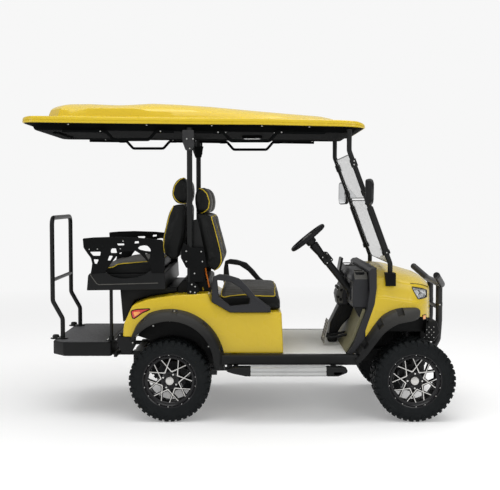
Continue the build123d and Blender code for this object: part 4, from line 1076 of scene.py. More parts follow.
RING_SECTION = [(74, 147), (84, 149), (88, 153), (88, 165), (86, 171), (80, 170), (72, 165)]
HUB_SECTION = [(58, 0), (58, 66), (70, 68), (82, 62), (86, 55), (84, 44), (80, 38), (80, 0)]
CAP_SECTION = [(78, 30), (96, 30), (101, 27), (103, 18), (104, 0), (78, 0)]
# Along a spoke: (share of its length, half width, lift of its face)
SPOKE_STATIONS = [(0.0, 13, 0.0), (0.12, 9.5, 1.0), (0.45, 7.0, 1.6), (0.8, 7.5, 0.6), (1.0, 11, -2.0)]
SHOULDER_LONG = [(60, 270.4), (88, 270.3), (107, 270), (114, 264), (117, 252), (118, 240)]
SHOULDER_SHORT = [(66, 270.4), (88, 270.3), (107, 270), (113, 264), (116, 256)]


def tread_block(line, widths, lean, height):
    """One tread block laid along a line of (y, radius) from the crown down to the sidewall."""
    rings = []
    last = len(line) - 1
    for k, spot in enumerate(line):
        before, after = line[max(k - 1, 0)], line[min(k + 1, last)]
        slope = Vector((after[0] - before[0], after[1] - before[1])).normalized()
        normal = Vector((-slope.y, slope.x))
        if normal.y < 0:
            normal = -normal
        rise = height * (0.55 if k in (0, last) else 1.0)
        base, top, wide = Vector(spot) - normal * 3.0, Vector(spot) + normal * rise, widths[k]
        ring = []
        for place, s in ((base, -wide), (top, -wide * 0.84), (top, wide * 0.84), (base, wide)):
            angle = (s + lean * k / last) / TREAD_R
            ring.append((place.y * math.sin(angle), place.x, place.y * math.cos(angle)))
        rings.append(ring)
    return skin("tread_block", rings, RUBBER)


def tread_pitch():
    """The blocks of one pitch of the tread: long and short shoulder blocks and a broken middle rib,
    and their mirrored twins half a block further on."""
    half = math.pi * 2 * TREAD_R / PITCHES / 4
    parts = []
    for line, widths, lean, height, offset in (
            (SHOULDER_LONG, (15.0, 15.5, 16.0, 15.0, 12.5, 9.0), 3, 8.8, 0.0),
            (SHOULDER_SHORT, (12.5, 13.0, 13.5, 12.0, 10.5), 3, 8.8, 2 * half),
            ([(12, 270.4), (30, 270), (50, 269.5)], (14, 17, 13), 9, 9.3, 0.6 * half),
            ([(4, 270.5), (20, 270), (38, 269.6)], (10, 13, 15), -7, 9.3, 2.6 * half)):
        piece = tread_block(line, widths, lean, height)
        twin = other_side(piece, "tread_block_far")
        piece.data.transform(Matrix.Rotation(offset / TREAD_R, 4, "Y"))
        twin.data.transform(Matrix.Rotation((offset + half) / TREAD_R, 4, "Y"))
        parts += [piece, twin]
    return tidy(joined("tread_pitch", parts), 30)


def round_axle(piece, material, count, middle):
    return tidy(grown(piece, ROUND_AXLE, material, Count=count, Middle=tuple(Vector(middle) * MM)), 30, False)


def tyre(corner, middle):
    """All-terrain tyre: the casing and its pitches of blocks."""
    section = TYRE_SECTION + [(-y, r) for y, r in reversed(TYRE_SECTION[:-1])]
    casing = turned("tyre_casing", section, middle, RUBBER, sides=120)
    tread = round_axle(tread_pitch(), RUBBER, PITCHES, middle)
    fitted(joined("all_terrain_" + corner, [casing, tread]), "tyre_black", "tyre_" + corner,
           body="wheel_" + corner)


def spoke_pair(side, phase):
    """Two crossing spokes with flared ends: their black bodies and their machined faces."""
    dark, bright = [], []
    for turn in (-1, 1):
        angle = turn * math.radians(SPOKE_SPREAD)
        start = Vector((SPOKE_START, 0.0))
        end = Vector((SPOKE_END * math.cos(angle), SPOKE_END * math.sin(angle)))
        run = end - start
        along = run.normalized()
        across = Vector((-along.y, along.x))
        body, face = [], []
        for t, wide, lift in SPOKE_STATIONS:
            low, top, strip = SPOKE_FACE - 30, SPOKE_FACE + lift, wide * 0.34
            for rings, corners in (
                    (body, ((-wide, low), (-wide, top - 4), (-wide * 0.62, top), (wide * 0.62, top),
                            (wide, top - 4), (wide, low))),
                    (face, ((-strip, top - 2), (-strip, top + 0.7), (strip, top + 0.7), (strip, top - 2)))):
                spots = [(start + run * t + across * s, side * y) for s, y in corners]
                rings.append([(p.x, y, p.y) for p, y in spots])
        dark.append(skin("spoke_body", body, RIM))
        bright.append(skin("spoke_face", face, MACHINED))
    for piece in dark + bright:
        piece.data.transform(Matrix.Rotation(-math.radians(phase), 4, "Y"))
    return tidy(joined("spoke_bodies", dark), 30), tidy(joined("spoke_faces", bright), 30)


def rim(corner, middle, side, phase):
    """Rim: barrel, bolt ring, sixteen crossing spokes, hub with its cap and wheel nuts."""
    def round_part(name, section, material, sides):
        return turned(name, [(side * y, r) for y, r in section], middle, material, sides=sides)

    def heads(name, radius, out, turns, size, height):
        rows = [((middle[0] + radius * math.cos(a), middle[1] + side * out, middle[2] + radius * math.sin(a)),
                 (0, side, 0)) for a in map(math.radians, turns)]
        return bolts(name, rows, size, height)

    bodies, faces = spoke_pair(side, phase)
    made = joined("rim_" + corner + "_dressed", [
        round_part("barrel", RIM_SECTION, RIM, 96), round_part("bolt_ring", RING_SECTION, RIM, 96),
        round_axle(bodies, RIM, 8, middle), round_axle(faces, MACHINED, 8, middle),
        round_part("wheel_hub", HUB_SECTION, RIM, 48), round_part("hub_cap", CAP_SECTION, MACHINED, 40),
        heads("wheel_nuts", NUT_CIRCLE, SPOKE_FACE, [phase - 16 + 90 * k for k in range(4)], 9, 16),
        heads("ring_bolts", RING_BOLT_CIRCLE, 99.5,
              [phase + 360 / 7 * (k // 2) + (10.2 if k % 2 else -10.2) + 11 for k in range(14)], 4.6, 5)])
    fitted(made, "rim_black", "rim_" + corner, body="wheel_" + corner)


# the rims stand turned by these many degrees
for end, place_x, phase in (("front", FRONT_X, 15), ("rear", REAR_X, -12)):
    for hand, side in (("left", 1), ("right", -1)):
        middle = (place_x, side * TRACK, AXLE_Z)
        tyre(end + "_" + hand, middle)
        rim(end + "_" + hand, middle, side, phase)


# ---- padded seats
FRONT_BACK = [(174, 1400), (187, 1304), (212, 1184), (236, 1082), (262, 1032), (298, 1010), (332, 1026),
              (354, 1056), (363, 1092), (355, 1130), (336, 1206), (306, 1316), (290, 1386), (270, 1416),
              (230, 1424), (186, 1420)]
FRONT_HEAD = [(160, 1490), (161, 1556), (174, 1589), (204, 1599), (248, 1587), (274, 1545), (282, 1487),
              (272, 1435), (248, 1416), (206, 1413), (172, 1426)]
REAR_BACK = [(12, 1476), (-16, 1416), (-38, 1334), (-57, 1250), (-61, 1184), (-50, 1131), (-18, 1102),
             (20, 1095), (57, 1116), (84, 1199), (104, 1304), (110, 1400), (108, 1462), (84, 1490),
             (38, 1491)]
REAR_HEAD = [(-6, 1556), (4, 1610), (28, 1648), (62, 1670), (92, 1664), (112, 1634), (118, 1572), (110, 1510),
             (84, 1482), (36, 1485), (6, 1514)]
BENCH = [(334, 872, 12), (356, 892, 26), (540, 894, 90), (735, 886, 26), (760, 862, 14), (762, 750, 8),
         (418, 749, 20), (332, 806, 20)]
REAR_BENCH = [(-522, 990, 8), (-514, 1034, 14), (-478, 1053, 20), (-402, 1060, 20), (-372, 1078, 20),
              (-320, 1086, 40), (-160, 1094, 30), (-74, 1090, 12), (-70, 1006, 10)]
# Lines of the piping. On backs and heads a seam runs up the side, on benches it is the edge of the top.
FRONT_SEAM = [(284, 1010), (300, 1024), (332, 1046), (348, 1084), (343, 1136), (328, 1201), (299, 1312),
              (276, 1400), (258, 1422)]
FRONT_HEAD_SEAM = [(196, 1418), (222, 1425), (254, 1450), (262, 1498), (245, 1555), (216, 1584), (186, 1592),
                   (166, 1598)]
REAR_SEAM = [(0, 1094), (-14, 1106), (-41, 1131), (-52, 1184), (-48, 1250), (-29, 1334), (-7, 1416),
             (22, 1476), (50, 1494)]
REAR_HEAD_SEAM = [(96, 1486), (54, 1492), (24, 1518), (8, 1556), (22, 1612), (50, 1648), (92, 1672)]
BENCH_EDGE = [(330, 862), (352, 880), (513, 886), (740, 878), (766, 866)]
REAR_BENCH_EDGE = [(-526, 1028), (-480, 1044), (-402, 1052), (-370, 1071), (-325, 1078), (-167, 1087),
                   (-60, 1086)]
FRONT_BACK_HELD = [(268, 1015), (232, 1180), (206, 1300), (192, 1420)]     # behind it the back is held
SEAT_Y = -250.0            # middle of the right-hand seats
BENCH_DROP = 48.0          # from the middle of the front bench down to its side edges
REAR_DROP = 8.0            # and of the rear one
PAD_TURNS = 14             # rings on each half of a pad before it is filled
FILL_FRAMES = 20
CHANNEL_DEPTH = 4.0
HALVINGS = 14              # steps of the search for a seam
PIPING_RADIUS = 3.6


def side_share(y):
    """How far down the crown of a bench has fallen: 0 in the middle, 1 at the side edges."""
    return min(1.1, max(0.0, (abs(y) - 230) / 250)) ** 2


def closed_curve(points, steps=5):
    """A closed line through points, rounded by a spline."""
    return smooth_line([points[-1], *points, points[0], points[1]], steps)[steps:-steps - 1]


def by_height(points):
    """Turns points from the rear axle into a table of (height, X)."""
    return sorted((z, x) for x, z in rear(points))


class Pad:
    """A padded piece on its way from its cut shape to its filled one."""

    def __init__(self, name, line, middle_y, width, fullness, voxel, swell, pinned, draw_in=5.0, bend=None):
        half = width / 2 - draw_in
        outline = grown_outline(line, -draw_in)
        centre = sum((Vector(p) for p in outline), Vector((0, 0))) / len(outline)
        wide, tall = [max(row) - min(row) for row in zip(*outline)]
        rings = []
        for k in range(1 - PAD_TURNS, PAD_TURNS):
            share = math.sin(math.pi / 2 * k / PAD_TURNS)
            less = 1 - (1 - abs(share) ** fullness) ** (1 / fullness)
            size_x, size_z = 1 - less * min(1, tall / wide), 1 - less * min(1, wide / tall)
            rings.append([(centre.x + (p[0] - centre.x) * size_x, middle_y + share * half,
                           centre.y + (p[1] - centre.y) * size_z) for p in outline])
        self.piece = tidy(skin(name, rings, HIDE))
        applied(self.piece, "REMESH", mode="VOXEL", voxel_size=voxel * MM)
        if bend:
            for v in self.piece.data.vertices:
                v.co = bend(v.co / MM) * MM
        self.swell = swell * MM
        self.start = np.array([v.co for v in self.piece.data.vertices])
        self.pinned = pinned
        self.inflate()

    def inflate(self):
        """Sets up the cloth that fills the pad, held where it sits on its board."""
        group = self.piece.vertex_groups.new(name="held")
        group.add([v.index for v in self.piece.data.vertices if self.pinned(v.co / MM)], 1.0, "REPLACE")
        cloth = self.piece.modifiers.new("filling", "CLOTH")
        for key, value in dict(
                quality=4, mass=0.4, use_pressure=True, uniform_pressure_force=4.0, vertex_group_mass="held",
                tension_stiffness=12.0, compression_stiffness=12.0).items():
            setattr(cloth.settings, key, value)
        cloth.settings.effector_weights.gravity = 0.0
        cloth.point_cache.frame_start = 1
        cloth.point_cache.frame_end = FILL_FRAMES

    def settle(self, graph):
        """Keeps the filled shape, with no point moved further than the swell allows."""
        filled = bpy.data.meshes.new_from_object(self.piece.evaluated_get(graph))
        self.piece.modifiers.clear()
        self.piece.vertex_groups.clear()
        move = np.array([v.co for v in filled.vertices]) - self.start
        far = np.linalg.norm(move, axis=1, keepdims=True)
        move *= np.minimum(1.0, self.swell / np.maximum(far, 1e-9))
        filled.vertices.foreach_set("co", (self.start + move).ravel())
        self.piece.data = filled
        applied(self.piece, "SUBSURF", levels=1, render_levels=1)
        self.piece.data.polygons.foreach_set("use_smooth", [True] * len(self.piece.data.polygons))


def pads():
    """All the padded pieces, filled together."""
    def crowned(base, drop):
        """Lowers the top of a bench towards its side edges."""
        def bend(p):
            return Vector((p.x, p.y, p.z - drop * side_share(p.y) * max(0.0, min(1.0, (p.z - base) / 90))))
        return bend

    held = by_height(FRONT_BACK_HELD)
    back, head, bench = (SEAT_Y, 430, 12.0, 8, 7), (SEAT_Y, 268, 4.6, 7, 6), (0, 960, 26.0, 10, 7)
    made = [
        Pad("front_seat_back", closed_curve(rear(FRONT_BACK)), *back, lambda p: p.x < between(held, p.z)),
        Pad("front_headrest", closed_curve(rear(FRONT_HEAD)), *head, lambda p: p.z < 1428, 3.0),
        Pad("rear_seat_back", closed_curve(rear(REAR_BACK)), *back,
            lambda p: p.x > REAR_X + 88 or p.z < 1104),
        Pad("rear_headrest", closed_curve(rear(REAR_HEAD)), *head, lambda p: p.z < 1500, 3.0),
        Pad("front_bench", rounded(rear(BENCH), 20), *bench, lambda p: p.z < 766, 4.0,
            crowned(765, BENCH_DROP)),
        Pad("rear_bench", rounded(rear(REAR_BENCH), 20), *bench, lambda p: p.z < 1008, 4.0,
            crowned(985, REAR_DROP))]
    for number in range(1, FILL_FRAMES + 1):
        bpy.context.scene.frame_set(number)
    graph = bpy.context.evaluated_depsgraph_get()
    graph.update()
    for pad in made:
        pad.settle(graph)
    bpy.context.scene.frame_set(1)
    return {pad.piece.name: pad.piece for pad in made}


PADS = pads()


def channelled(piece, facing, pitch, phase, inside):
    """Sewn channels: the face between them stands up in soft ribs."""
    mesh = piece.data
    mesh.update()
    spots = np.zeros(len(mesh.vertices) * 3)
    mesh.vertices.foreach_get("co", spots)
    spots = spots.reshape(-1, 3) / MM
    normals = np.array([v.normal for v in mesh.vertices])
    share = np.clip((normals @ np.array(facing) - 0.35) / 0.3, 0, 1)
    share *= np.array([inside(Vector(p)) for p in spots])
    fold = np.abs((((spots[:, 1] + phase) / pitch) % 1.0) - 0.5) * 2
    sink = -CHANNEL_DEPTH * np.clip((fold - 0.55) / 0.45, 0, 1) ** 2
    spots += normals * (sink * share)[:, None]
    mesh.vertices.foreach_set("co", (spots * MM).ravel())
    mesh.update()


def seam_loop(piece, sheet, turns, reach, lift=1.5):
    """Closed line where a sheet cuts the surface. sheet(distance, angle) is a point on the sheet."""
    mesh = piece.data
    tree = BVHTree.FromPolygons([v.co for v in mesh.vertices], [p.vertices for p in mesh.polygons])
    loop = []
    for k in range(turns):
        angle = 2 * math.pi * k / turns
        inner, outer = 0.0, reach
        for _ in range(HALVINGS):
            middle = (inner + outer) / 2
            spot = sheet(middle, angle) * MM
            near, normal, _, _ = tree.find_nearest(spot)
            if (spot - near).dot(normal) < 0:
                inner = middle
            else:
                outer = middle
        near, normal, _, _ = tree.find_nearest(sheet(inner, angle) * MM)
        loop.append(near / MM + normal * lift)
    return [(loop[k - 1] + loop[k] * 2 + loop[(k + 1) % turns]) / 4 for k in range(turns)]


def dressed_pad(piece, seam, panel, nodes, body="root"):
    """Seam, piping and quilted panel of one padded piece, then its place on its body."""
    trim = beads(piece.name + "_piping", [seam_loop(piece, *seam)], PIPING_RADIUS, PIPING, closed=True)
    piece.data.materials.append(QUILT)
    for face in piece.data.polygons:
        if panel(face.center / MM):
            face.material_index = 1
    fitted(trim, "seat_leather", body=body)
    fitted(piece, "seat_leather", *nodes, body=body)
    return trim


def seat_backs():
    """Backs and headrests of both benches, right and left, with their seams and piping."""
    for name, seam, middle_z, turns, reach, ahead, ribs, nodes in (
            ("front_seat_back", FRONT_SEAM, 1215, 160, 330, 1, ((1, 0, 0.2), 172, 1062, 1384),
             ["front_seat_backs"]),
            ("front_headrest", FRONT_HEAD_SEAM, 1505, 120, 200, 1, None, []),
            ("rear_seat_back", REAR_SEAM, 1300, 160, 330, -1, ((-1, 0, 0), 168, 1150, 1450),
             ["rear_seat_backs"]),
            ("rear_headrest", REAR_HEAD_SEAM, 1585, 120, 200, -1, None, [])):
        piece, line = PADS[name], by_height(seam)

        def sheet(d, a):
            """Follows the seam's line and spreads out from the middle of the piece."""
            z = middle_z + d * math.sin(a)
            return Vector((between(line, z), SEAT_Y + d * math.cos(a), z))

        if ribs:
            facing, half, low, high = ribs
            channelled(piece, facing, 24.0, 0.0, lambda p: abs(p.y - SEAT_Y) < half and low < p.z < high)
        trim = dressed_pad(piece, (sheet, turns, reach),
                           lambda p: (p.x - between(line, p.z)) * ahead > 0, nodes)
        other = fitted(other_side(piece, name + "_left"), "seat_leather")
        fitted(other_side(trim, name + "_left_piping"), "seat_leather")


def benches():
    """The two benches, the front one riding on the lid of the seat box."""
    for name, edge, middle_x, drop, start, end, node, body in (
            ("front_bench", BENCH_EDGE, 548, BENCH_DROP, 366, 726, "front_seat_cushion", "seat_cushion"),
            ("rear_bench", REAR_BENCH_EDGE, -296, REAR_DROP, -480, -110, "rear_seat_cushion", "root")):
        piece, line = PADS[name], rear(edge)

        def top(x, y):
            return between(line, x) - drop * side_share(y)

        def sheet(d, a):
            """Follows the edge of the top all round."""
            x, y = REAR_X + middle_x + math.cos(a) * d * 0.45, math.sin(a) * d
            return Vector((x, y, top(x, y)))

        channelled(piece, (0, 0, 1), 48.0, 24.0,
                   lambda p: abs(p.y) < 446 and REAR_X + start < p.x < REAR_X + end)
        dressed_pad(piece, (sheet, 240, 640), lambda p: p.z > top(p.x, p.y), [node], body)


seat_backs()
benches()


# ---- rear seat's mouldings
ARM_OUTLINE = [
    (-590, 1250, 8), (-517, 1257, 20), (-385, 1261, 30), (-220, 1256, 30), (-48, 1240, 14), (-34, 1100, 14),
    (-36, 1014, 6), (-124, 1014, 5), (-128, 1051, 12), (-152, 1093, 20), (-194, 1141, 14), (-231, 1165, 10),
    (-312, 1161, 10), (-348, 1147, 6), (-400, 1080, 30), (-440, 1018, 6), (-539, 1008, 6), (-532, 1044, 14),
    (-527, 1080, 14), (-536, 1117, 14), (-558, 1147, 14), (-585, 1187, 20)]
ARM_CUTS = [
    [(-545, 1159, 5), (-468, 1160, 5), (-473, 1132, 5), (-521, 1132, 5)],
    [(-519, 1108, 5), (-482, 1107, 5), (-495, 1077, 5), (-510, 1077, 5)],
    [(-394, 1182, 8), (-352, 1182, 10), (-350, 1165, 8), (-359, 1151, 8), (-402, 1151, 8), (-400, 1169, 8)],
    [(-411, 1132, 5), (-385, 1132, 5), (-403, 1100, 5), (-424, 1099, 5)],
    [(-361, 1218, 4), (-297, 1219, 4), (-304, 1204, 4), (-350, 1202, 4)],
    [(-236, 1230, 4), (-203, 1232, 4), (-209, 1218, 4), (-240, 1215, 4)],
    [(-218, 1184, 6), (-201, 1198, 8), (-172, 1203, 14), (-150, 1200, 14), (-131, 1180, 14), (-127, 1161, 5),
     (-165, 1165, 20), (-201, 1173, 10)],
    [(-166, 1149, 4), (-131, 1143, 6), (-135, 1117, 10), (-144, 1104, 5), (-163, 1134, 6)]]
ARM_BOLTS = [(-545, 1176), (-490, 1178), (-334, 1180), (-315, 1232)]
ARM_RAIL = [(-584, 1240), (-400, 1252), (-224, 1247), (-50, 1230)]
BASE_SIDE = [
    (-566, 895, 6), (-28, 902, 6), (-34, 1016, 8), (-66, 1025, 8), (-125, 1033, 14), (-169, 1005, 60),
    (-228, 984, 60), (-301, 976, 80), (-353, 979, 60), (-404, 994, 60), (-434, 1020, 20), (-545, 1012, 8),
    (-557, 996, 8)]
BASE_RIB = [(-541, 1004), (-519, 971), (-497, 941), (-479, 935), (-79, 946)]
# name, outline, corner radius, half width, rounding of the edges
BASE_PARTS = [
    ("seat_base", [(-566, 897), (-556, 998), (-522, 1002, 6), (-512, 960), (-72, 964), (-64, 1014, 6),
                   (-32, 1016), (-28, 900)], 8, SIDE - 6, 4),
    ("seat_base_skirt", [(-508, 956), (-504, 1000), (-78, 1004), (-74, 956)], 6, 472, 4),
    ("storage_box", [(-344, 652), (-364, 900, 4), (38, 900, 4), (38, 868), (-150, 842, 20), (-262, 810, 20),
                     (-322, 672)], 10, 400, 6),
    ("seat_hinge_cover", [(40, 852), (40, 905), (74, 948), (250, 952), (266, 938), (268, 852)], 10, 396, 6)]
LOOP = [(288, 930, 12), (299, 992, 14), (340, 1008, 30), (396, 1002, 30), (474, 978, 40), (534, 918, 40),
        (584, 856, 30), (686, 782, 14), (690, 746, 8), (412, 746, 16), (285, 818, 14)]
LOOP_HOLE = [(324, 967, 5), (338, 967, 10), (414, 956, 30), (482, 912, 40), (546, 842, 10), (540, 804, 14),
             (414, 790, 14), (336, 851, 8)]
LOOP_LEDGE = [(418, 752), (672, 752), (664, 766), (560, 812), (440, 770)]
LEFT_LOOP_AHEAD, LEFT_LOOP_RISE = 46.0, 26.0    # the left loop stands further ahead and higher


def at_side(points, y):
    """Points seen from the side, given from the rear axle, at one side place."""
    return [(x, y, z) for x, z in rear(points)]


def side_heads(points, y):
    """Places for bolt heads on a face that looks to the left, at points (X, Z)."""
    return [((x, y, z), (0, 1, 0)) for x, z in points]


def rear_seat_mouldings():
    """Side frames, the base with its raised sides and grooves, and the storage box."""
    cuts = [rounded(rear(ARM_OUTLINE), 10)] + [rounded(rear(cut), 6) for cut in ARM_CUTS]
    frame_parts = [
        plate("armrest_frame", cuts, SIDE - 12, SIDE + 12, 4.5, PLATE_BLACK, steps=3),
        bolts("armrest_bolts", side_heads(rear(ARM_BOLTS), SIDE + 12), 5, 3),
        tube("armrest_top_rail", at_side(ARM_RAIL, SIDE - 2), 8, 60, PLATE_BLACK, 12)]
    fitted(both_sides(joined("armrest_frames", frame_parts)), "trim_black", "rear_armrests")
    side = plate("seat_base_side", [rounded(rear(BASE_SIDE), 10)], SIDE - 14, SIDE + 8, 5, TRIM, steps=3)
    # The raised rib is part of the base; its light grey is a painted highlight along the lit edge of the
    # black base.
    rib = beads("seat_base_rib", [at_side(BASE_RIB, SIDE + 8)], 3, CONSOLE_GREY)
    parts = [both_sides(joined("seat_base_sides", [side, rib]))]
    parts += [plate(name, [rounded(rear(outline), radius)], -half, half, edge, TRIM)
              for name, outline, radius, half, edge in BASE_PARTS]
    x = REAR_X - 356
    parts.insert(4, bar("storage_lid", (x, -360, 778), (x, 360, 778), 8, 206, TRIM, 3, (-0.08, 0, 1)))
    fitted(joined("rear_seat_mouldings", parts), "trim_black", "rear_seat_base")


def hip_loops():
    """Moulded loops at the sides of the front bench."""
    loops = [rounded(rear(LOOP), 12, 6), rounded(rear(LOOP_HOLE), 10, 6)]
    made = plate("hip_loop", loops, SIDE - 10, SIDE + 38, 11, DASH, steps=4)
    ledge = plate("hip_loop_ledge", [rounded(rear(LOOP_LEDGE), 6)], SIDE + 30, SIDE + 39.5, 3, DASH)
    left = joined("hip_loop_left", [made, ledge])
    right = other_side(left, "hip_loop_right")
    left.data.transform(Matrix.Translation((LEFT_LOOP_AHEAD * MM, 0, LEFT_LOOP_RISE * MM)))
    fitted(joined("hip_loops", [left, right]), "trim_black", "hip_restraints")


rear_seat_mouldings()
hip_loops()


# ---- foot step
def foot_step():
    """Foot step: a tray with cut corners, a raised rim and a studded mat."""
    low, high = span("rear_step")
    x0, x1, half, cut = low.x, high.x, high.y, 90.0

    def plan(inset):
        c = cut - inset * 0.5
        return rounded([(x1 - inset, half - inset), (x0 + c, half - inset), (x0 + inset, half - c),
                        (x0 + inset, c - half), (x0 + c, inset - half), (x1 - inset, inset - half)],
                       22 - inset * 0.2, 5)

    tray = plate("step_tray", [plan(0)], low.z, high.z - 3, 9, TRIM, "plan", 3)
    tray = carved(tray, plate("step_hollow", [plan(7)], low.z - 30, high.z - 12, 2, TRIM, "plan"))
    mat = plate("step_mat", [plan(20)], high.z - 8, high.z, 2.5, TREAD, "plan")
    fitted(joined("foot_step", [tray, mat]), "trim_black", "rear_step")


foot_step()


# ---- lamps, nose and front wheel housings
LAMP_TOP = [(-16, 919), (60, 905), (104, 888)]
LAMP_LOW = [(-16, 914), (29, 831), (70, 834), (107, 838)]
BOWL_SECTION = [(-2, 0), (5, 2), (7, 0), (2, -4)]       # the bowl's lip, as (depth, radius beyond the bowl's)
BONNET_JOINT = [(-24, 939), (0, 936), (30, 933.5), (60, 926), (90, 918), (106, 911), (120, 902)]
NOSE_PLAN = [(12, 183), (70, 182), (125, 179), (190, 172), (275, 160), (340, 148)]
NOSE_LEAN = [(765, 183), (800, 180), (850, 172), (900, 158)]
HOUSING_WALL = 362.0       # side place of the wheel housings' inner walls
FRONT_LINER, REAR_LINER = 339, 294         # radii of the housings


def on_cowl(dx, z, out=0.0):
    """A place on the left side of the cowl, or a little outside it."""
    side = between([(row[1], row[0]) for row in cowl_section(dx)], z)
    return (FRONT_X + dx, side + out, z)


def cowl_patch(name, rows, out, depth, material, steps=6):
    """A closed sheet that follows the cowl's side: rows of (from the front axle, low, high)."""
    rings = []
    for dx, low, high in rows:
        outer = [on_cowl(dx, low + (high - low) * k / steps, out) for k in range(steps + 1)]
        rings.append(outer + [(x, y - depth, z) for x, y, z in reversed(outer)])
    return tidy(skin(name, rings, material))


def head_lamps():
    """Head lamps, each with clear glass over two bowls, a slatted end, the joint line above it and
    the turn lamp, and the slats across the nose."""
    def rows(start, end, margin, count=12):
        places = [start + (end - start) * k / count for k in range(count + 1)]
        return [(dx, between(LAMP_LOW, dx) + margin, between(LAMP_TOP, dx) - margin) for dx in places]

    parts = [cowl_patch("lamp_glass", rows(-11, 104, 2.0), 0.4, 3.0, CLEAR),
             cowl_patch("lamp_bucket", rows(-24, 116, -12.0), -26.0, 5.0, LAMP_SILVER)]
    for dx, z, r in ((24, 871, 27), (64, 868, 26)):
        section = [(depth, r + more) for depth, more in BOWL_SECTION]
        section += [(-6, r * 0.6), (-9, 0), (-12, 0), (-12, r)]
        parts.append(turned("lamp_bowl", section, on_cowl(dx, z, -24.0), LAMP_SILVER, sides=32))
    edge = rows(-12, 105, 1.0)
    outline = [on_cowl(dx, low, 0.6) for dx, low, _ in edge]
    outline += [on_cowl(dx, high, 0.6) for dx, _, high in edge[::-1]]
    ends = [(dx, between(LAMP_LOW, dx) + 1, between(LAMP_TOP, dx) - 8) for dx in (86, 92, 98, 104, 109)]
    slats = [[on_cowl(dx, z, 2.4) for dx in (88, 95, 102, 108)] for z in (846, 856, 866, 876)]
    parts += [
        beads("lamp_frame", [outline], 2.6, TRIM, closed=True),
        cowl_patch("lamp_end_grille", ends, 1.6, 5.0, TRIM),
        beads("lamp_end_slats", slats, 2.0, GUNMETAL),
        beads("bonnet_joint", [[on_cowl(dx, z, -0.6) for dx, z in BONNET_JOINT]], 3.2, TRIM),
        cowl_patch("turn_lamp_base", [(dx, 686, 722) for dx in (63, 73, 83, 93, 98)], 2.0, 8.0, TRIM),
        cowl_patch("turn_lamp", [(dx, 691, 717) for dx in (69, 77, 85, 92)], 5.5, 8.0, AMBER)]
    side = joined("head_lamp", parts)
    spots = [-294 + 588 * k / 24 for k in range(25)]
    slats = [[(FRONT_X + min(between(NOSE_PLAN, abs(y)), between(NOSE_LEAN, z)) - 9, y, z) for y in spots]
             for z in (820, 831, 842, 853, 864)]
    bars = beads("nose_slats", slats, 3.4, TRIM)
    opening = oblong(-312, 312, 806, 878, 10)
    back = plate("nose_backing", [opening], FRONT_X + 138, FRONT_X + 142, 1, TRIM, "end")
    fitted(joined("nose_lamps", [both_sides(side), bars, back]), "lamp_clear", "headlights")


def wheel_housing(name, profile, well, outer, wall):
    """Black liner over a wheel: a rolled sheet and the wall at its inner end, with its screws."""
    rings, heads = [], []
    for x, z in profile:
        away = (Vector((x, z)) - Vector(well)).normalized() * 3.0
        near, far, over = HOUSING_WALL, outer(x), (x + away.x, z + away.y)
        rings.append([(x, near, z), (x, far, z), (over[0], far, over[1]), (over[0], near, over[1])])
    for share in (0.16, 0.34, 0.5, 0.66, 0.84):
        spot = Vector(profile[int(share * (len(profile) - 1))])
        heads.append(tuple(spot + (Vector(well) - spot).normalized() * 26))
    parts = [tidy(skin(name + "_sheet", rings, TRIM)),
             plate(name + "_wall", [wall], HOUSING_WALL - 3, HOUSING_WALL + 0.5, 0.5, TRIM),
             bolts(name + "_screws", side_heads(heads, HOUSING_WALL + 0.5), 7, 5)]
    fitted(both_sides(joined(name, parts)), "trim_black")


def wheel_housings():
    profile = front([(96, 584), (101, 640)]) + arc_line(FRONT_WELL, FRONT_LINER, 72, 142)
    wheel_housing("front_wheel_housing", profile, FRONT_WELL,
                  lambda x: min(552.0, between(COWL_PLAN, x - FRONT_X) - 9), profile + front([(-266, 584)]))
    profile = arc_line(REAR_WELL, REAR_LINER, -4, 147)
    wheel_housing("rear_wheel_housing", profile, REAR_WELL, lambda x: 553.0, profile)


def skid_plate():
    """Riveted skid plate under the nose, between the guard's legs."""
    loop = rounded(front([(86, 498), (96, 640), (214, 650), (238, 560), (196, 498)]), 22, 5)
    body = plate("skid_plate", [loop], -286, 286, 12, TRIM, steps=3)
    spots = [(124 + 17 * k, 528 + 19 * row) for k in range(5) for row in range(5) if (k + row) % 2 == 0]
    rivets = both_sides(bolts("skid_rivets", side_heads(front(spots), 286), 4, 2))
    fitted(joined("skid_plate", [body, rivets]), "trim_black")


def nose_shield():
    """Splash shields along the neck of the frame, behind the front wheels."""
    side = rounded(front([(-318, 436), (150, 436, 20), (164, 560, 20), (150, 660, 20), (-230, 660, 30),
                          (-330, 560, 20)]), 14)
    ribs = [front([(dx, 99, 452), (dx, 99, 640)]) for dx in (-210, -140, -70, 0, 70)]
    parts = [plate("nose_shield", [side], 94, 98, 1, TRIM), beads("nose_shield_ribs", ribs, 3, TRIM)]
    fitted(both_sides(joined("nose_shields", parts)), "trim_black")


head_lamps()
wheel_housings()
skid_plate()
nose_shield()


# ---- bull bar, mirrors and screen clamps
POST_FOOT, POST_RISE = Vector((1042, 0, 1074)), Vector((-286, 0, 774))     # a windshield post, at POST_Y
POST_Y = 510
MIRROR_FACE = [(-46, -86), (40, -90), (48, -40), (46, 76), (34, 92), (-40, 84)]
MIRROR_RINGS = ((0, 5), (2, 1), (8, 0), (20, 0), (30, 5), (37, 14), (41, 27), (42.5, 38))     # (depth, inset)


